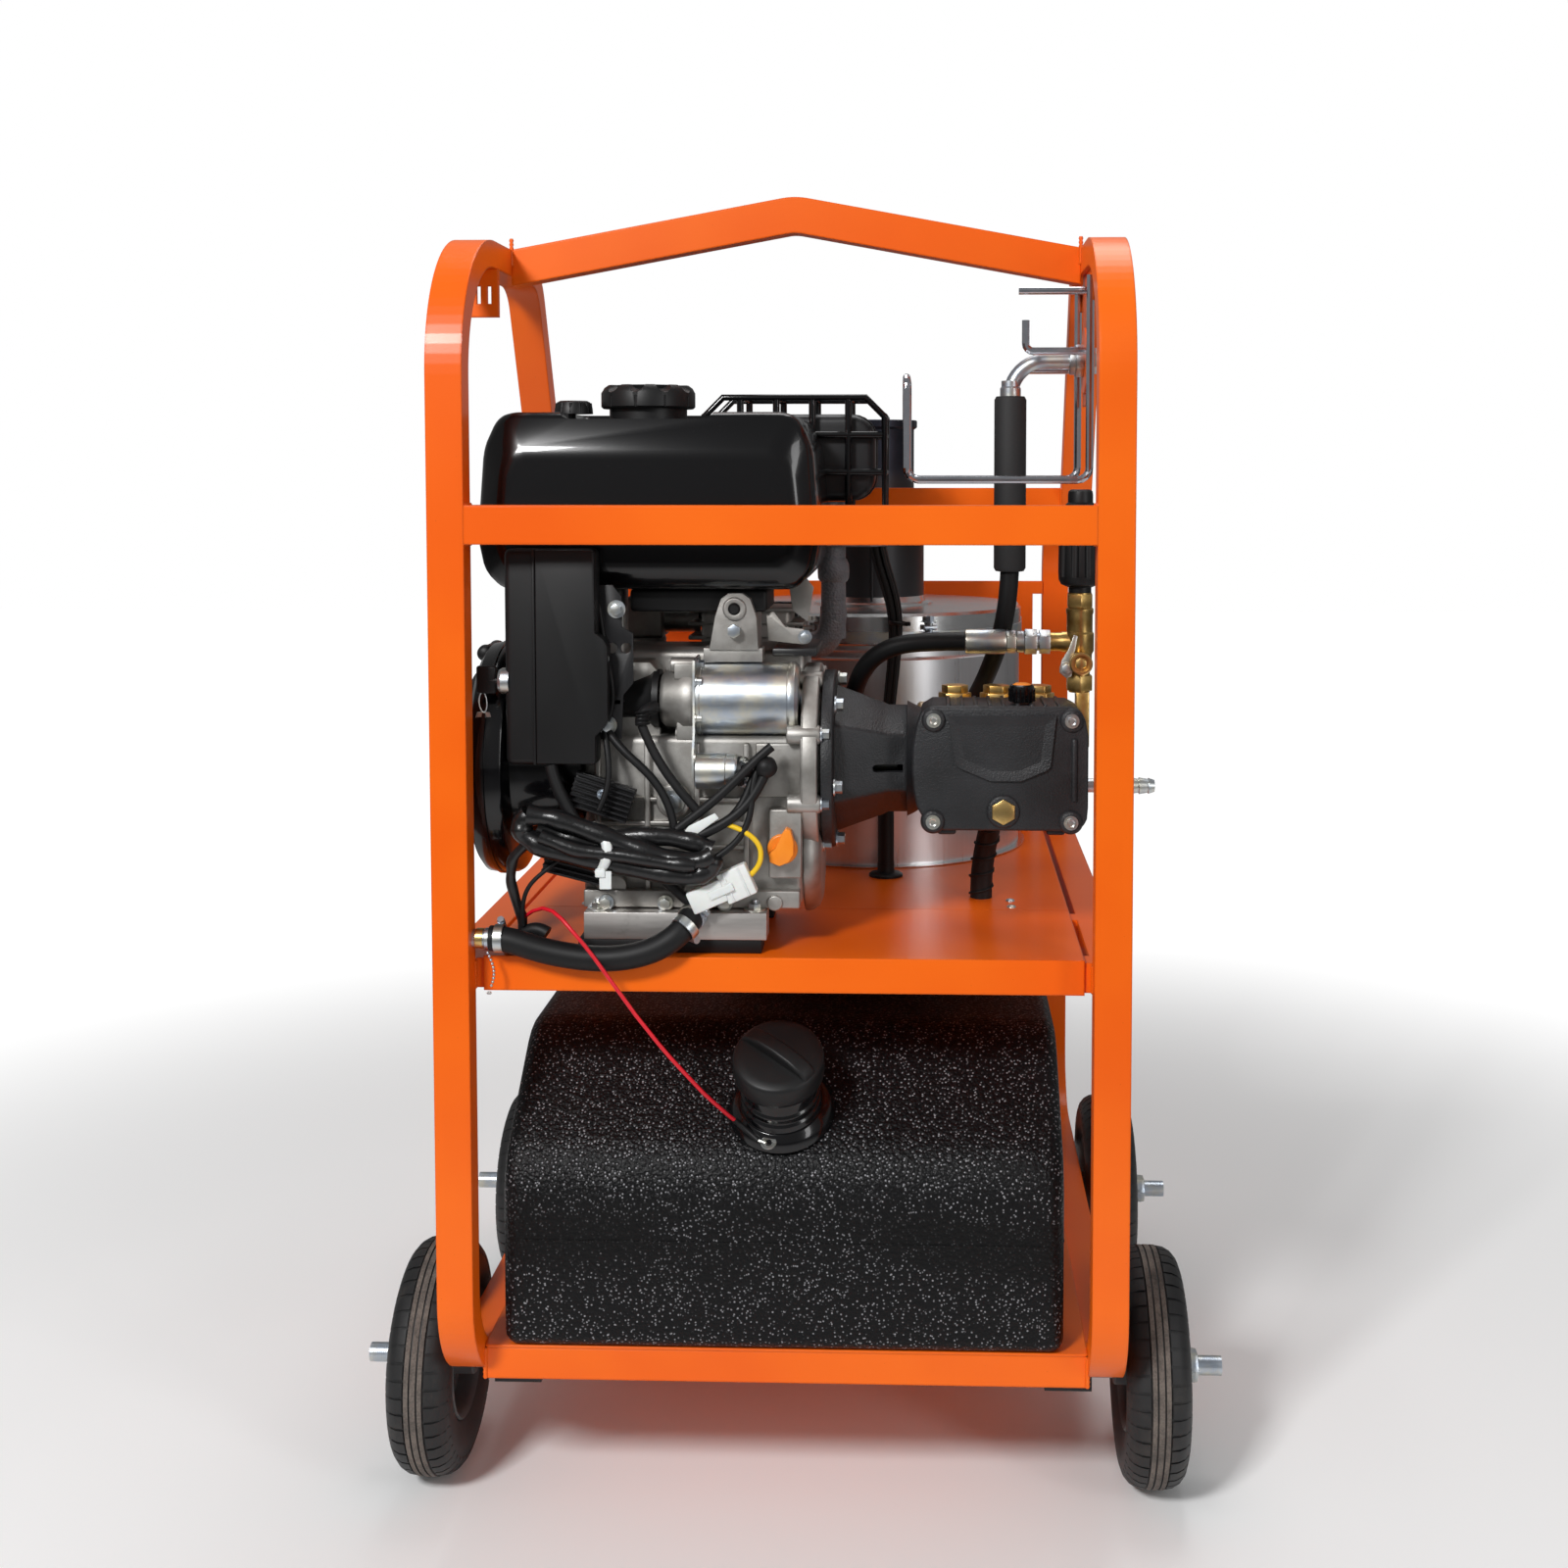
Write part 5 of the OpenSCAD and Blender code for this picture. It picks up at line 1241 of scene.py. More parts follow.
def unloader():
    """Brass unloader: threaded body, hexes, front port with its plug, elbow to the left and base."""
    x, y = UNLOADER
    body = turned([(0, 0), (11, 0), (11, 22), (13, 24), (13, 40), (15, 44), (15, 62), (13.6, 64), (13.6, 82),
                   (14.4, 84), (14.4, 88), (12.5, 90), (12.5, 105), (0, 105)], (x, y, 840), sides=64)
    hexes = [hexagon((x, y, 842), (x, y, 858), 15, 0.8), hexagon((x, y, 930), (x, y, 944), 14.6, 0.8)]
    port = turned([(12, -4), (12, 12), (10.6, 13.6), (12, 15), (12, 25), (10.8, 26), (9, 26), (9, 21),
                   (0, 21), (0, -4)], (x, y, 872), FRONT, 48)
    elbow = turned([(11, 0), (11, 18), (10, 20), (10, 33), (0, 33), (0, 0)], (x, y, 893), LEFT, 44)
    foot = block((299, -267, 782), (313, -245, 841), 1.6)
    part("unloader_body", [body, port, elbow, foot] + hexes, brass_bar, ["unloader"], crisp=32)
    plug = hexagon((x, -278.4, 872), (x, -274, 872), 6.6, 0.6)
    part("gauge_plug", [plug], brass_bar, crisp=30)
    lever = outline([(281, 862), (288, 856), (294, 858), (297, 884), (300, 900), (296, 902), (290, 886),
                     (283, 874)], "XZ", -271, 3)
    pin = hex_bolt((288, -271, 866), FRONT, 9, 5, 7)
    part("unloader_lever", [soften(lever, 0.8, 2), pin], zinc, crisp=32)


def unloader_knob():
    """Fluted hand knob on its stem, with the stepped top."""
    x, y = UNLOADER
    body = turned([(0, 6), (13, 6), (20, 9), (22.4, 14), (23, 22), (22.4, 74), (20, 84), (14, 88), (0, 88),
                   (0, 6)], (x, y, 945), sides=72)
    flutes = [bar((*foot, 962), (*top, 1040), 4.6, 16)
              for foot, top in zip(around(10, 24.6, UNLOADER), around(10, 22.4, UNLOADER))]
    cut(body, weld(flutes))
    stem = turned([(0, 0.4), (12, 0.4), (12, 7), (0, 7)], (x, y, 945), sides=36)
    head = turned([(0, 108.6), (10, 108.6), (12.6, 106.6), (13.2, 103), (13.2, 95), (15.5, 93), (15.5, 87),
                   (0, 87)], (x, y, 945), sides=48)
    part("knob_shell", [body, stem, head], moulded, ["unloader_knob"], crisp=34, body="unloader_knob")


def fittings():
    """Ferrule, nuts and collars of the bypass, the outlet elbow, the barb and the plug of the tray."""
    y, z = -256, 893
    parts = [turned([(10.5, 0), (12.6, 1), (13, 3), (13, 41), (12, 43.5), (9.5, 43.5), (9.5, 0)],
                    (182, y, z), RIGHT, 56),
             hexagon((226, y, z), (236, y, z), 12.4, 0.9),
             turned([(10.6, 0), (11.6, 1), (11.6, 8), (10.4, 9), (0, 9), (0, 0)], (236, y, z), RIGHT, 40),
             hexagon((245, y, z), (258, y, z), 13.6, 0.9),
             hexagon((260.5, y, z), (272, y, z), 13, 0.9), bar((256, y, z), (262, y, z), 9.4)]
    parts.append(turned([(10, 0), (11, 1), (11, 12), (9.6, 14), (9.6, 20), (0, 20), (0, 0)],
                        (230, -235, 1148), sides=40))
    sweep = [(230 + 37 - 37 * math.cos(a), -235, 1152 + 37 * math.sin(a))
             for a in (math.radians(t) for t in range(0, 91, 9))]
    parts.append(tube([(230, -235, 1150)] + sweep + [(300, *OUTLET_NUT), (322, *OUTLET_NUT)], 8, 24,
                      smooth=False))
    parts += [hexagon((292, *OUTLET_NUT), (306, *OUTLET_NUT), 15, 1),
              hexagon((314.5, *OUTLET_NUT), (322, *OUTLET_NUT), 14, 0.9)]
    thread = [(9.4 if i % 2 == 0 else 10.6, i) for i in range(9)]
    parts.append(turned(thread + [(11, 9.5), (11, 13.5), (8, 14), (6, 14), (6, 0)],
                        (322, *OUTLET_NUT), RIGHT, 40))
    barb = turned([(7.4, 0), (7.4, 48), (9, 50), (9, 54), (7.4, 60), (9, 60.4), (7.4, 70), (9, 70.4),
                   (7.4, 80), (8.6, 80.4), (6.4, 87), (4.8, 87), (4.8, 60), (0, 60), (0, 0)],
                  (299, -230, 736), RIGHT, 40)
    nut = hexagon((299.5, -230, 736), (311, -230, 736), 13, 1)
    tray_plug = turned([(9, 0), (9, 12), (10.4, 13), (10.4, 17), (0, 17), (0, 0)], (-305, -422, 613), RIGHT,
                       36)
    part("hose_fittings", parts + [barb, nut, tray_plug], zinc, ["pipe_fittings"], crisp=30)
    disc = turned([(34.6, 0), (35, 0.6), (35, 2.6), (34.6, 3.2), (12, 3.2), (12, 0)], (306.8, *OUTLET_NUT),
                  RIGHT, 64)
    part("outlet_disc", [disc], paint, crisp=32)


for build in (diesel_tank, diesel_cap, earth_lug, pump_cover, pump_case, pump_manifold, pump_dipstick, bell,
              unloader, unloader_knob, fittings):
    build()


# ---------------------------------------------------------------- hoses

BYPASS = ((182, -256, 893), (156, -256, 893), (128, -256, 892), (104, -253, 887), (84, -246, 875),
          (70, -232, 855), (62, -210, 829), (60, -184, 800), (60, -154, 772), (63, -120, 748),
          (67, -84, 730), (70, -48, 719), (72, -20, 714), (72, -0.3, 714))
OUTLET = ((230, -235, 966), (229, -233, 943), (226, -229, 919), (221, -223, 894), (214, -212, 870),
          (206, -197, 848), (197, -176, 826), (187, -148, 804), (177, -116, 785), (168, -82, 768),
          (160, -46, 754), (150, -14, 741), (150, 15.7, 741))
SUPPLY = ((218, -180, 724), (218, -165, 710), (216, -152, 692), (213, -142, 672), (209, -136, 652),
          (206, -134, 634), (204, -134, 614), (204, -134, 592))
DRAIN = ((-288, -422, 613), (-272, -422, 613), (-248, -422, 604), (-222, -422, 598), (-196, -422, 594),
         (-170, -422, 593), (-146, -422, 596), (-124, -422, 603), (-109, -421, 612), (-99, -416, 620),
         (-93, -407, 628), (-90, -394, 633), (-87, -380, 638), (-84, -364, 644))


def band(place, way, radius, width=9):
    """Worm-drive clamp: a strip with its screw housing."""
    strip = turned([(radius, 0), (radius + 0.9, 0.3), (radius + 0.9, width - 0.3), (radius, width),
                    (radius - 0.4, width), (radius - 0.4, 0)], place, way, 44)
    side = Vector(way).orthogonal().normalized()
    seat = Vector(place) + Vector(way) * width / 2 + side * (radius + 3.2)
    across = Vector(way).cross(side)
    housing = bar(seat - across * 6, seat + across * 6, 4, 12)
    screw = bar(seat + across * 6, seat + across * 9.5, 3.6, 6)
    return weld([soften(strip, crisp=30), soften(housing, crisp=35), soften(screw, crisp=30)])


def hoses():
    """Water, outlet and drain hoses, the wrapped supply hose, and what clamps and joins them."""
    sleeve = turned([(11, 0), (15, 0.6), (17, 4), (17, 182), (15, 185.6), (9, 186), (9, 0)],
                    (230, -235, 966), sides=40)
    part("bypass_hose", [tube(BYPASS, 10, 24)], hose, ["water_hoses"], crisp=60)
    part("outlet_hose_tube", [tube(OUTLET, 10, 24)], hose, ["outlet_hose"], crisp=60)
    part("hand_sleeve", [sleeve], foam, crisp=35)
    part("drain_hose_tube", [tube(DRAIN, 12.6, 24)], hose, ["drain_hose"], crisp=60)
    supply = tube(SUPPLY, 12.4, 24)
    points = [Vector(p) for p in SUPPLY]
    runs = [(b - a).length for a, b in zip(points, points[1:])]
    turns_per_mm = 1 / 19
    helix = []
    walked = 0
    for (a, b), run in zip(zip(points, points[1:]), runs):
        way = (b - a).normalized()
        side = Vector(RIGHT) - way * way.x
        side.normalize()
        other = way.cross(side)
        steps = max(2, int(run / 1.6))
        for i in range(steps):
            at = a.lerp(b, i / steps)
            angle = math.tau * (walked + run * i / steps) * turns_per_mm
            helix.append(tuple(at + (side * math.cos(angle) + other * math.sin(angle)) * 12.9))
        walked += run
    wrap = tube(helix, 1.6, 8, smooth=False)
    part("supply_hose", [supply, wrap], hose, crisp=60)
    clamps = [band((-283, -422, 613), RIGHT, 13), band((-98, -417, 621), (0.6, 0.55, 0.6), 13.2),
              band((-92, -402, 629), (0.3, 0.9, 0.35), 13.2), band((218, -176, 720), (0, 0.68, -0.73), 13)]
    part("hose_clamps", clamps, zinc)
    tee = turned([(9, 0), (10, 1), (10, 8), (0, 8), (0, 0)], (-302, -422, 613), RIGHT, 32)
    part("drain_fitting", [tee], brass_bar, crisp=30)
    beads = []
    for i in range(12):
        angle = i / 11
        x = -289 + 6 * math.sin(angle * 3.1)
        z = 600 - 3.6 * i if i < 10 else 560
        clear()
        bpy.ops.mesh.primitive_uv_sphere_add(segments=10, ring_count=6, radius=1.6 * MM,
                                             location=mm(x, -428.6, z + 0.001 * i))
        beads.append(settle(bpy.context.object))
    part("bead_chain", beads, zinc, crisp=60)
    ports = [turned([(16, 0), (17, 1), (17, 14), (13, 16), (11, 24), (0, 24), (0, 0)], (x, y, z), FRONT, 40)
             for x, y, z in ((72, 24, 714), (150, 40, 741))]
    part("boiler_unions", ports, zinc, crisp=30)


def creased(points, radius, seed, swell=0.12):
    """Soft PVC sleeve whose section is pinched and swells along the way."""
    route, radii = [], []
    for a, b in zip(points, points[1:]):
        for share in (0, 1 / 3, 2 / 3):
            route.append(tuple(Vector(a).lerp(Vector(b), share)))
    route.append(points[-1])
    for i in range(len(route)):
        radii.append(1.0 + swell * math.sin(i * 1.7 + seed) + 0.5 * swell * math.sin(i * 4.1 + seed * 2))
    return tube(route, radius, 20, radii=radii)


# Each lane of the hank: its points across and up, how far forward it lies, and its radius.
HANK = (
    (((-249, 735), (-257, 728), (-256, 716), (-234, 702), (-179, 690), (-123, 679), (-88, 675),
      (-70, 682), (-67, 694)), -417, 10.5),
    (((-249, 736), (-225, 733), (-198, 724), (-165, 712), (-130, 699), (-98, 690), (-76, 692),
      (-67, 698)), -421, 9.6),
    (((-240, 724), (-214, 712), (-180, 704), (-150, 714), (-112, 713), (-86, 708), (-70, 700)), -411, 9.6),
    (((-236, 716), (-200, 702), (-150, 697), (-110, 690), (-84, 688)), -427, 7.2),
)
# Cables between the switch gear: points across, forward and up, and the radius.
CABLES = (
    (((-128, -384, 838), (-136, -392, 838), (-141, -396, 832), (-140, -397, 822)), 6.6),
    (((-140, -397, 822), (-132, -399, 802), (-118, -401, 778), (-102, -403, 758), (-90, -404, 744),
      (-80, -404, 733)), 4.9),
    (((-178, -390, 815), (-174, -398, 795), (-171, -402, 775), (-174, -404, 755), (-182, -405, 738)), 3.2),
    (((-174, -390, 813), (-160, -399, 797), (-138, -401, 780), (-118, -403, 757), (-108, -405, 732),
      (-106, -406, 712)), 4.2),
    (((-11, -396, 801), (-26, -400, 789), (-48, -404, 766), (-72, -406, 744), (-92, -407, 729),
      (-104, -408, 720)), 4.8),
    (((-15, -396, 779), (-24, -398, 760), (-34, -402, 744), (-52, -406, 728), (-76, -408, 716),
      (-92, -409, 710)), 5.2),
    (((-28, -392, 776), (-34, -398, 756), (-42, -403, 738), (-60, -406, 722), (-84, -408, 712)), 4.2),
    (((-22, -394, 786), (-30, -398, 770), (-30, -403, 745), (-34, -406, 722), (-48, -408, 703),
      (-66, -410, 692)), 3.4),
    (((-204, -398, 700), (-222, -401, 688), (-240, -403, 674), (-256, -403, 660), (-261, -401, 640),
      (-260, -398, 620)), 2.2),
    (((-184, -383, 940), (-178, -389, 900), (-170, -390, 868), (-168, -391, 838), (-176, -391, 823)), 2.4),
    (((-128, -402, 680), (-116, -400, 664), (-100, -399, 650), (-86, -399, 640)), 5.0),
    (((-72, -402, 694), (-80, -400, 680), (-88, -399, 668), (-76, -400, 656)), 1.6),
    (((-230, -402, 782), (-226, -404, 764), (-218, -405, 748), (-206, -406, 728)), 6.4),
)


def wiring():
    """Folded hank of sleeved cables with its tie, its stem, and the cables between the switch gear."""
    sleeves = [creased([(x, forward, z) for x, z in lane], radius, seed)
               for seed, (lane, forward, radius) in enumerate(HANK)]
    stem = [(-262, -392, 598), (-262, -392, 626), (-268, -394, 644), (-272, -400, 666), (-268, -408, 690),
            (-250, -412, 708)]
    sleeves.append(creased(stem, 5.2, 1))
    part("wiring_sleeves", sleeves, sleeving, ["wiring_hank"], crisp=70)
    rubber_parts = [turned([(17, 0), (19, 2), (15, 5), (18, 8), (14, 11), (17, 14), (12, 18), (8, 20),
                            (0, 20), (0, 0)], (-262, -392, 592.2), sides=40),
                    tube([(-262, -392, 608), (-256, -394, 616), (-246, -396, 618), (-236, -398, 612)], 7,
                         16),
                    turned([(0, 20), (6, 19), (10.4, 14), (11, 7), (8, 2), (6, 0), (0, 0)],
                           (-20, -388, 784), (0.35, -0.86, -0.4), 36)]
    for i in range(4):
        rubber_parts.append(turned([(6.6, 0), (8, 1.2), (6.6, 2.4)], (-139, -396 - 0.4 * i, 836 - 4 * i),
                                   (0.1, -0.1, -1), 24))
    rubber_parts += [tube(route, radius, 14) for route, radius in CABLES]
    part("cable_grommets", rubber_parts, hose, crisp=50)
    tie = tube([(-178, -402, 716), (-176, -424, 720), (-172, -432, 706), (-174, -430, 688),
                (-178, -420, 677), (-180, -402, 680)], 2.6, 10, closed=True)
    pick(tie)
    scale(2.1, 1, 1, mm(-176, -415, 698))
    done()
    tail = block((-178, -429, 664), (-166, -427.6, 682), 0.5, 1)
    knot = block((-182, -431, 676), (-172, -422, 684), 1.2)
    mark = outline([(-101, 712), (-95, 708), (-62, 732), (-66, 737), (-92, 724)], "XZ", -413, 2)
    plug_a = block((-33, -9, -11.5), (4, 9, 11.5), 2)
    plug_b = block((2, -7.4, -16), (33, 7.4, 16), 2)
    latch = block((-12, -11, -4), (14, -8, 4), 0.8)
    ribs = [block((x, -8.6, -15), (x + 2, -7, 15), 0.5, 1) for x in (8, 24)]
    connector = weld([plug_a, plug_b, latch] + ribs)
    put(connector, (-61, -404, 659), Matrix.Rotation(math.radians(-24), 4, "Y"))
    part("white_connector", [tie, tail, knot, soften(mark, 0.6, 2), connector], nylon)
    loop = tube([(-60, -404, 726), (-46, -406, 722), (-33, -407, 716), (-23, -407, 706), (-20, -406, 694),
                 (-24, -404, 680), (-36, -402, 670)], 2.7, 12)
    part("yellow_wire", [loop], yellow, crisp=60)


def regulator():
    """Finned black blocks hung in the wiring, with a screw."""
    groups = []
    blocks = ((-182, -386, 748), (62, 12, 36), 18), ((-206, -388, 684), (66, 10, 38), 14)
    for place, (w, d, h), lean in blocks:
        fins = [block((-w / 2, -d / 2 + 3, -h / 2), (w / 2, d / 2, h / 2), 1.4)]
        for i in range(7):
            z = -h / 2 + 2 + (h - 4) * i / 6
            fins.append(block((-w / 2, -d / 2 - 2, z - 1.2), (w / 2, d / 2 - 2, z + 1.2), 0.5, 1))
        groups.append(put(weld(fins), place, Matrix.Rotation(math.radians(lean), 4, "Y")))
    part("voltage_regulator", groups, powder)
    part("regulator_screw", [socket_bolt((-180, -395, 752), FRONT, 3.6, 3, 5.4)], zinc, crisp=30)


for build in (hoses, wiring, regulator):
    build()


# ---------------------------------------------------------------- boiler, flue and muffler

BOILER = (72, 210)


def boiler():
    """Rolled stainless shell with its skirt and lid, the clamp band with toggle bolts, the deck ring."""
    place = (*BOILER, 0)
    shell = turned([(190, 560), (190, 878), (188.6, 880), (180, 880), (0, 880), (0, 560)], place, sides=160)
    skirt = turned([(186, 428), (190, 430), (190, 559.8), (0, 559.8), (0, 428)], place, sides=160)
    lid = turned([(190.4, 862), (192, 864), (192, 897), (189, 900.6), (180, 901), (66, 901), (0, 901),
                  (0, 862)], place, sides=160)
    beads = [turned([(190, z - 2), (191.6, z), (190, z + 2), (188, z + 2), (188, z - 2)], place, sides=160)
             for z in (856, 846)]
    ring = turned([(190, 592.2), (197, 592.2), (198, 593), (198, 594.4), (190, 595)], place, sides=160)
    part("boiler_shell", [shell] + beads, stainless, ["boiler"], crisp=32)
    part("boiler_lid", [lid, ring], lid_steel, crisp=32)
    part("boiler_skirt", [skirt], powder, crisp=32)
    strap = turned([(192, 866), (193.4, 866.4), (193.4, 878.6), (192, 879), (190, 879), (190, 866)], place,
                   sides=160)
    bolts = [soften(strap, crisp=30)]
    for turn in (248, 292, 20, 140):
        angle = math.radians(turn)
        side = Vector((-math.sin(angle), math.cos(angle), 0))
        seat = Vector((BOILER[0] + 198 * math.cos(angle), BOILER[1] + 198 * math.sin(angle), 884))
        bolts.append(soften(bar(seat - Vector((0, 0, 22)), seat + Vector((0, 0, 14)), 3, 16), crisp=40))
        bolts.append(hex_bolt(seat + Vector((0, 0, 6)), UP, 10, 6, 8))
        bolts.append(hex_bolt(seat + Vector((0, 0, -14)), DOWN, 10, 5, 7))
        bolts.append(put(block((-9, -7, -3), (9, 7, 3), 1), seat + Vector((0, 0, -8)),
                         Matrix.Rotation(angle, 4, "Z")))
        bolts.append(soften(bar(seat - side * 8, seat + side * 8, 3.4, 16), crisp=40))
    part("lid_clamps", bolts, zinc)


def flue():
    place = (*BOILER, 0)
    sleeve = turned([(64, 901), (66, 902), (66, 1046), (64, 1049), (54, 1050.6), (53, 1051), (53, 1126),
                     (57, 1129), (57, 1137), (55.6, 1138), (50, 1138), (50, 1040), (0, 1040), (0, 901)],
                    place, sides=112)
    seam = block((70.4, 142.6, 904), (73.6, 146, 1045), 0.6)
    part("flue_pipe", [sleeve, seam], flue_steel, ["flue"], crisp=32)
    foot = turned([(78, 901), (78, 903.4), (68, 905), (66, 912), (64, 912), (64, 901)], place, sides=96)
    part("flue_foot", [foot], lid_steel, crisp=30)


def burner():
    """Burner can under the boiler with its fan scroll, motor and cable gland."""
    can = turned([(96, 320), (100, 324), (100, 424), (96, 428), (0, 428), (0, 318)], (*BOILER, 0), sides=96)
    scroll = turned([(56, 0), (60, 4), (60, 86), (56, 90), (0, 90), (0, 0)], (-28, 210, 363), LEFT, 72)
    guard = [turned([(radius, 0), (radius + 2, 1), (radius, 2), (radius - 2, 1)], (-118, 210, 363), LEFT,
                    56) for radius in (16, 28, 40, 52)]
    for i in range(3):
        angle = math.pi * i / 3
        across, up = 54 * math.cos(angle), 54 * math.sin(angle)
        guard.append(bar((-119, 210 + across, 363 + up), (-119, 210 - across, 363 - up), 1.6, 10))
    flange = turned([(104, 0), (104, 3), (98, 3), (98, 0)], (*BOILER, 404), sides=96)
    part("burner_can", [can, scroll, flange] + guard, powder, ["burner"], crisp=35)


def exhaust():
    """Sand-cast elbow with its knuckle, flange and bolts."""
    column = tube([(36.5, -120, z) for z in (884, 912, 945, 978, 1000)], 14, 40)
    bend = tube([(2, -120, 876), (16, -120, 874), (30, -120, 880), (36.5, -120, 896), (36.5, -120, 920)],
                15, 36)
    knuckle = turned([(15, 0), (17.5, 4), (18, 12), (17.5, 20), (15, 26), (0, 26), (0, 0)],
                     (36.5, -120, 948), sides=44)
    flange = outline([(30, -138), (80, -138), (98, -112), (98, -60), (80, -34), (30, -34), (28, -60),
                      (28, -112)], "XY", 988, 6)
    soften(flange, 1.2, 2)
    upper = turned([(15, 0), (15, 30), (14, 44), (0, 44), (0, 0)], (36.5, -120, 994), sides=44)
    part("exhaust_casting", [column, bend, knuckle, flange, upper], rough_cast, ["exhaust_elbow"], crisp=45)
    bolts = [hex_bolt((x, y, 994), UP, 10, 6, 8) for x, y in ((48, -128), (48, -52), (88, -86))]
    part("exhaust_bolts", bolts, zinc, crisp=30)


def muffler():
    """Pressed muffler drum with its rolled seam, and the cage of round bar welded round it."""
    ring = []
    for quarter, (x, z) in enumerate(((56, 1108), (-68, 1108), (-68, 1068), (56, 1068))):
        for i in range(7):
            angle = math.pi / 2 * (quarter + i / 6)
            ring.append((x + 28 * math.cos(angle), z + 28 * math.sin(angle)))
    drum = soften(outline(ring, "XZ", -131, 90), 9, 4, angle=50, crisp=50)
    seam = outline([(-6 + (x + 6) * 1.02, 1088 + (z - 1088) * 1.03) for x, z in ring], "XZ", -88, 4)
    part("muffler_drum", [drum, soften(seam, 1.2, 2)], powder, ["muffler"])
    left, right, low, high, near, far, corner = -106.5, 94.5, 1029.5, 1154.5, -140.5, -31.5, 21
    wires = []
    for y in (near, far):
        wires.append([(left, y, low), (right, y, low), (right, y, high - corner), (right - corner, y, high),
                      (left + corner, y, high), (left, y, high - corner)])
    for i in range(1, 5):
        x = left + i * (right - left) / 5
        wires.append([(x, near, low), (x, near, high), (x, far, high), (x, far, low)])
    for z in (low + 42, low + 83.5):
        wires.append([(left, near, z), (right, near, z), (right, far, z), (left, far, z)])
    cage = [tube(wire, 3.9, 16, smooth=False, closed=True) for wire in wires]
    for x, z in ((left, low), (right, low), (left, high - corner), (right, high - corner)):
        cage.append(bar((x, near, z), (x, far, z), 3.9, 16))
    part("muffler_cage", cage, gloss, ["muffler_guard"], crisp=50, slot="black_steel")


def cable_post():
    """Bundle of burner cables with ties, running down into a sleeve that stands on the deck."""
    route = ((80, 1, -32, 996), (84, 1, -33, 970), (95, 1, -34, 940), (104, 0.8, -34, 905),
             (104, 0.7, -33, 868), (99, 0.7, -31, 820), (95, 0.6, -29, 780), (93, 0.5, -28, 740))
    runs = [tube([(x + dx * spread, y + dy, z) for x, spread, y, z in route], 3.1, 10)
            for dx, dy in ((0, 0), (6, 2), (-5, 3), (2, 7), (9, 8))]
    post = turned([(9.6, 0), (9.6, 142), (8, 146), (0, 146), (0, 0)], (94, -26, 596), sides=40)
    foot = turned([(20, 0), (20, 2.6), (18, 4), (10.4, 5), (10, 8), (10, 16), (0, 16), (0, 0)],
                  (94, -26, 592.2), sides=40)
    ties = [turned([(10.4, 0), (11, 0.6), (11, 3.6), (10.4, 4.2), (9, 4.2), (9, 0)], spot, (0.1, 0, 1), 24)
            for spot in ((108, -32, 892), (97, -28, 790))]
    ties += [block(spot, [low + side for low, side in zip(spot, (6, 4, 5))], 0.8)
             for spot in ((117, -40, 891), (106, -36, 789))]
    part("burner_cables", runs + [post, foot] + ties, hose, crisp=50)


def air_cleaner():
    body = block((-292, -140, 950), (-162, -28, 1096), 12, 5, crisp=50)
    lid = block((-289, -137, 1092), (-165, -31, 1104), 5, 3, crisp=50)
    seam = block((-293, -141, 1086), (-161, -27, 1090), 1.4)
    ribs = [block((x, -142.4, 956), (x + 3, -138, 1080), 1) for x in range(-280, -170, 18)]
    stub = bar((-227, -84, 944), (-227, -84, 954), 30, 40)
    part("air_cleaner_shell", [body, lid, seam, stub] + ribs, moulded, ["air_cleaner"], crisp=50)
    nut = turned([(0, 8), (5, 8), (6, 7), (6, 2), (14, 2), (14, 0), (0, 0)], (-227, -84, 1098), sides=24)
    part("cleaner_nut", [nut], zinc, crisp=30)


for build in (boiler, flue, burner, exhaust, muffler, cable_post, air_cleaner):
    build()


# ---------------------------------------------------------------- finishes of the frame's own solids

def dress(finish, *names):
    for name in names:
        solid = node[name]
        solid.data.materials.clear()
        solid.data.materials.append(finish)


dress(paint, "side_frame_left", "side_frame_right", "front_crossbar", "roof_bar", "rear_bars",
      "bottom_bars", "deck_rails", "front_deck", "rear_deck", "tank_tray", "rear_panel",
      "side_brackets")
dress(powder, "axle_brackets", "bell_housing", "blower_housing", "recoil_cover", "muffler",
      "muffler_guard", "burner")
dress(zinc, "axles", "starter_motor", "solenoid", "drive_shaft", "pipe_fittings", "ignition_key")
dress(rubber, "tyre_front_left", "tyre_front_right", "tyre_rear_left", "tyre_rear_right")
dress(rim_paint, "rim_front_left", "rim_front_right", "rim_rear_left", "rim_rear_right")
dress(pebbled, "diesel_tank")
dress(moulded, "diesel_cap", "fuel_cap", "control_box", "recoil_handle", "air_cleaner",
      "unloader_knob", "pump_oil_cap")
dress(gloss, "fuel_tank")
dress(casting, "engine_block", "crankcase_cover", "cylinder_head")
dress(rough_cast, "exhaust_elbow")
dress(bar_stock, "engine_rails")
dress(pump_skin, "pump_crankcase", "pump_cover")
dress(brass_bar, "pump_head", "unloader")
dress(hose, "drain_hose", "water_hoses", "outlet_hose")
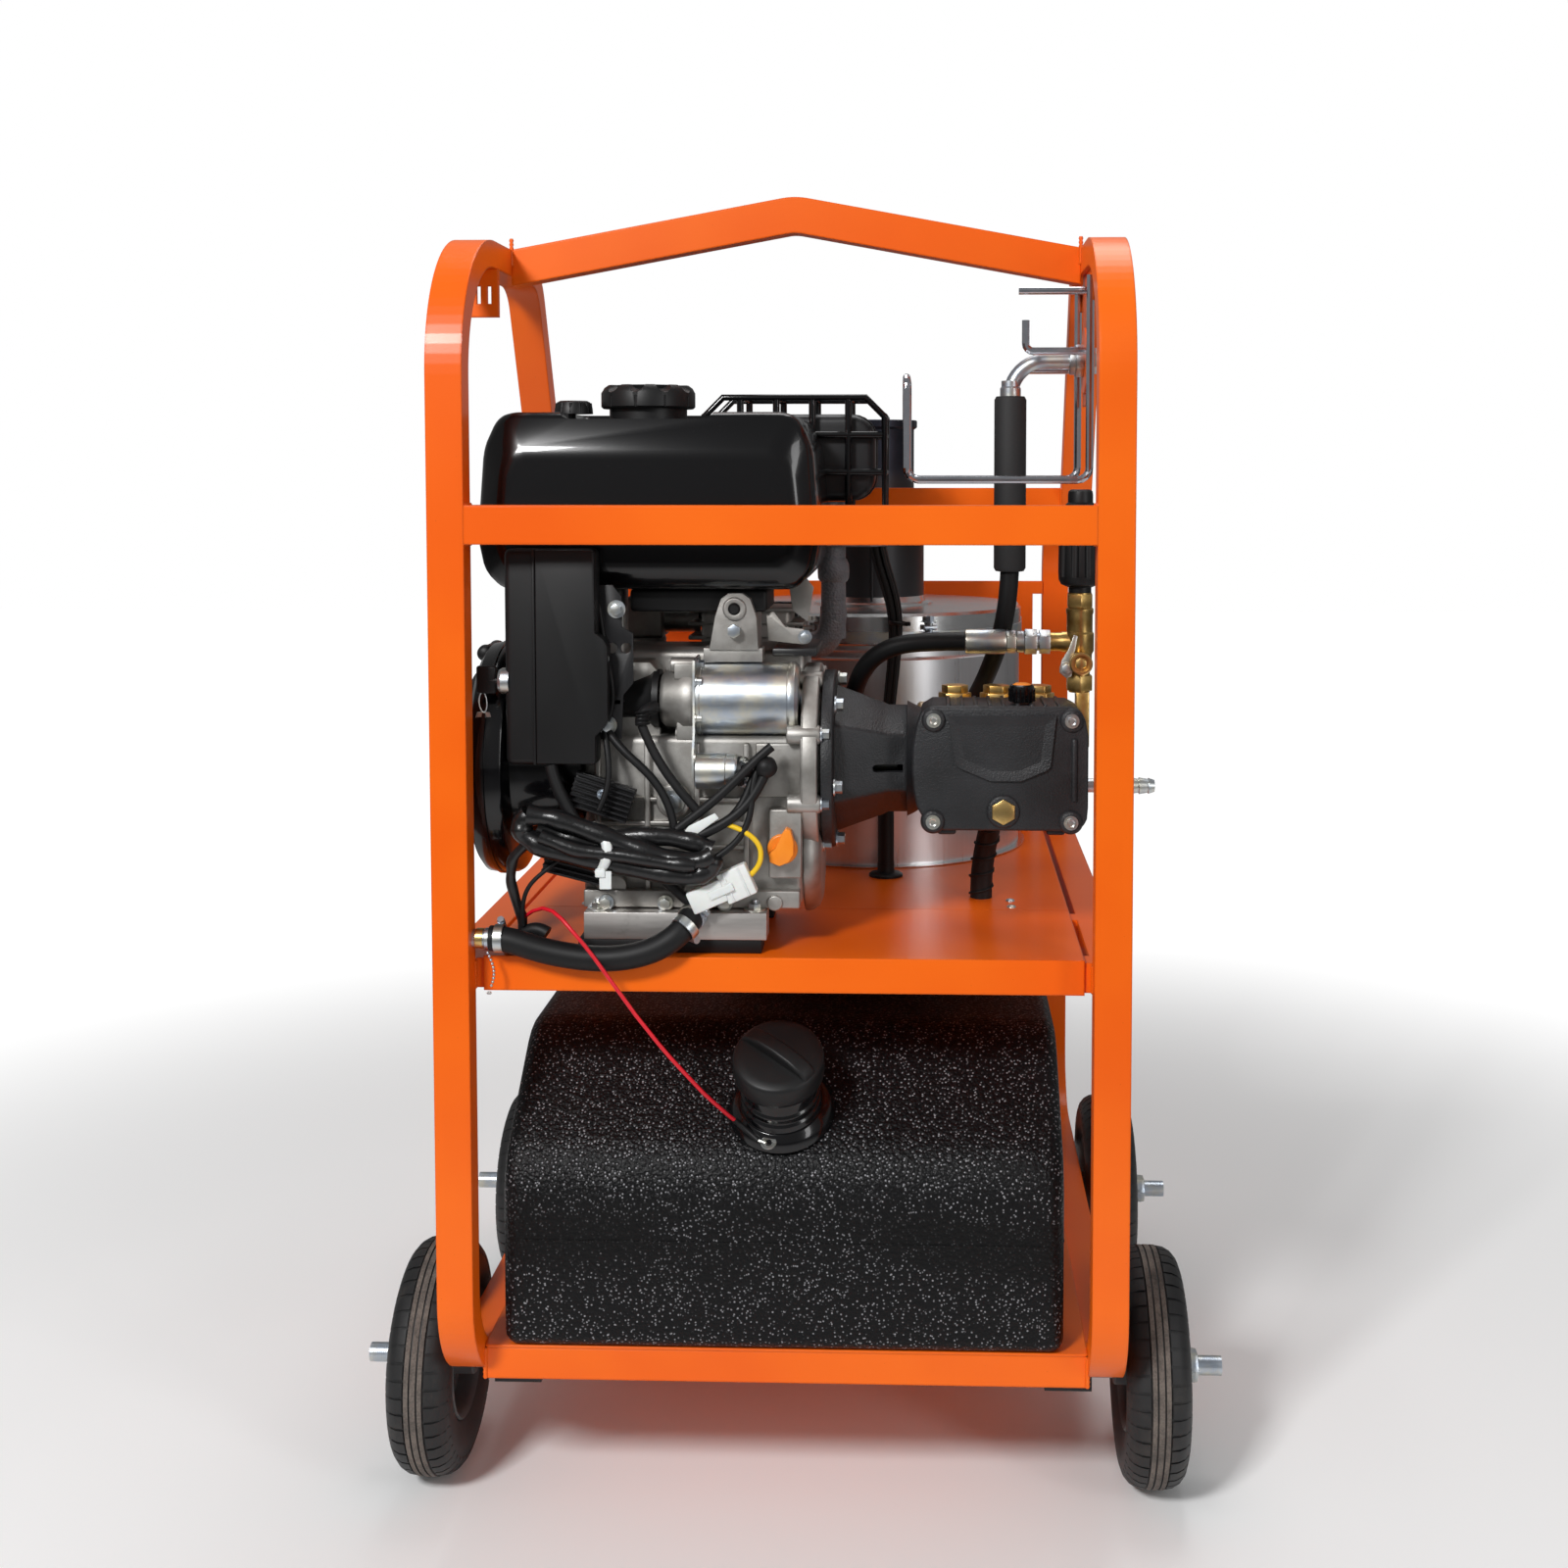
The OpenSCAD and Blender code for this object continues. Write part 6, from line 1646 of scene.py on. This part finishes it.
dress(sleeving, "wiring_hank")
dress(orange_cap, "oil_filler_cap")
dress(red, "tank_wire")
dress(chrome, "hook_wires")
dress(stainless, "boiler")
dress(flue_steel, "flue")


# ---------------------------------------------------------------- room and light

def set_room():
    clear()
    bpy.ops.mesh.primitive_plane_add(size=24, location=(0, 0, 0))
    floor = bpy.context.object
    floor.name = "studio_floor"
    f = Finish("studio_floor", roughness=0.85, emission_strength=1.0)
    away = f.step(f.part("X") ** 2 + f.part("Y") ** 2, 0.5, 5.0)
    seen = f.add("LightPath", out="Is Camera Ray")
    f.set(base_color=f.blend(away, (0.93, 0.93, 0.93, 1), (0.1, 0.1, 0.1, 1)),
          emission_color=f.blend(away * seen, (0, 0, 0, 1), (1, 1, 1, 1)))
    floor.data.materials.append(f.material)
    world = bpy.data.worlds.new("studio")
    bpy.context.scene.world = world
    world.use_nodes = True
    tree = world.node_tree
    glow = tree.nodes["Background"]
    glow.inputs["Color"].default_value = (1, 1, 1, 1)
    path = tree.nodes.new("ShaderNodeLightPath")
    level = tree.nodes.new("ShaderNodeMapRange")
    level.inputs["To Min"].default_value = AMBIENT
    level.inputs["To Max"].default_value = 1.0
    tree.links.new(path.outputs["Is Camera Ray"], level.inputs["Value"])
    tree.links.new(level.outputs[0], glow.inputs["Strength"])


def set_lamp(name, place, aim, size, power):
    data = bpy.data.lights.new(name, "AREA")
    data.shape = "RECTANGLE"
    data.size, data.size_y = size
    data.energy = power
    lamp = bpy.data.objects.new(name, data)
    bpy.context.scene.collection.objects.link(lamp)
    lamp.location = place
    lamp.rotation_euler = (Vector(aim) - Vector(place)).to_track_quat("-Z", "Y").to_euler()


AMBIENT = 0.24
set_room()
set_lamp("key_softbox", (-1.5, -3.4, 3.0), (0, -0.2, 0.7), (0.7, 0.7), 128)
set_lamp("fill_softbox", (2.6, -2.8, 1.6), (0, 0, 0.6), (0.6, 2.2), 26)
set_lamp("top_softbox", (0.2, 0.8, 3.4), (0, 0, 0.6), (1.6, 1.6), 34)
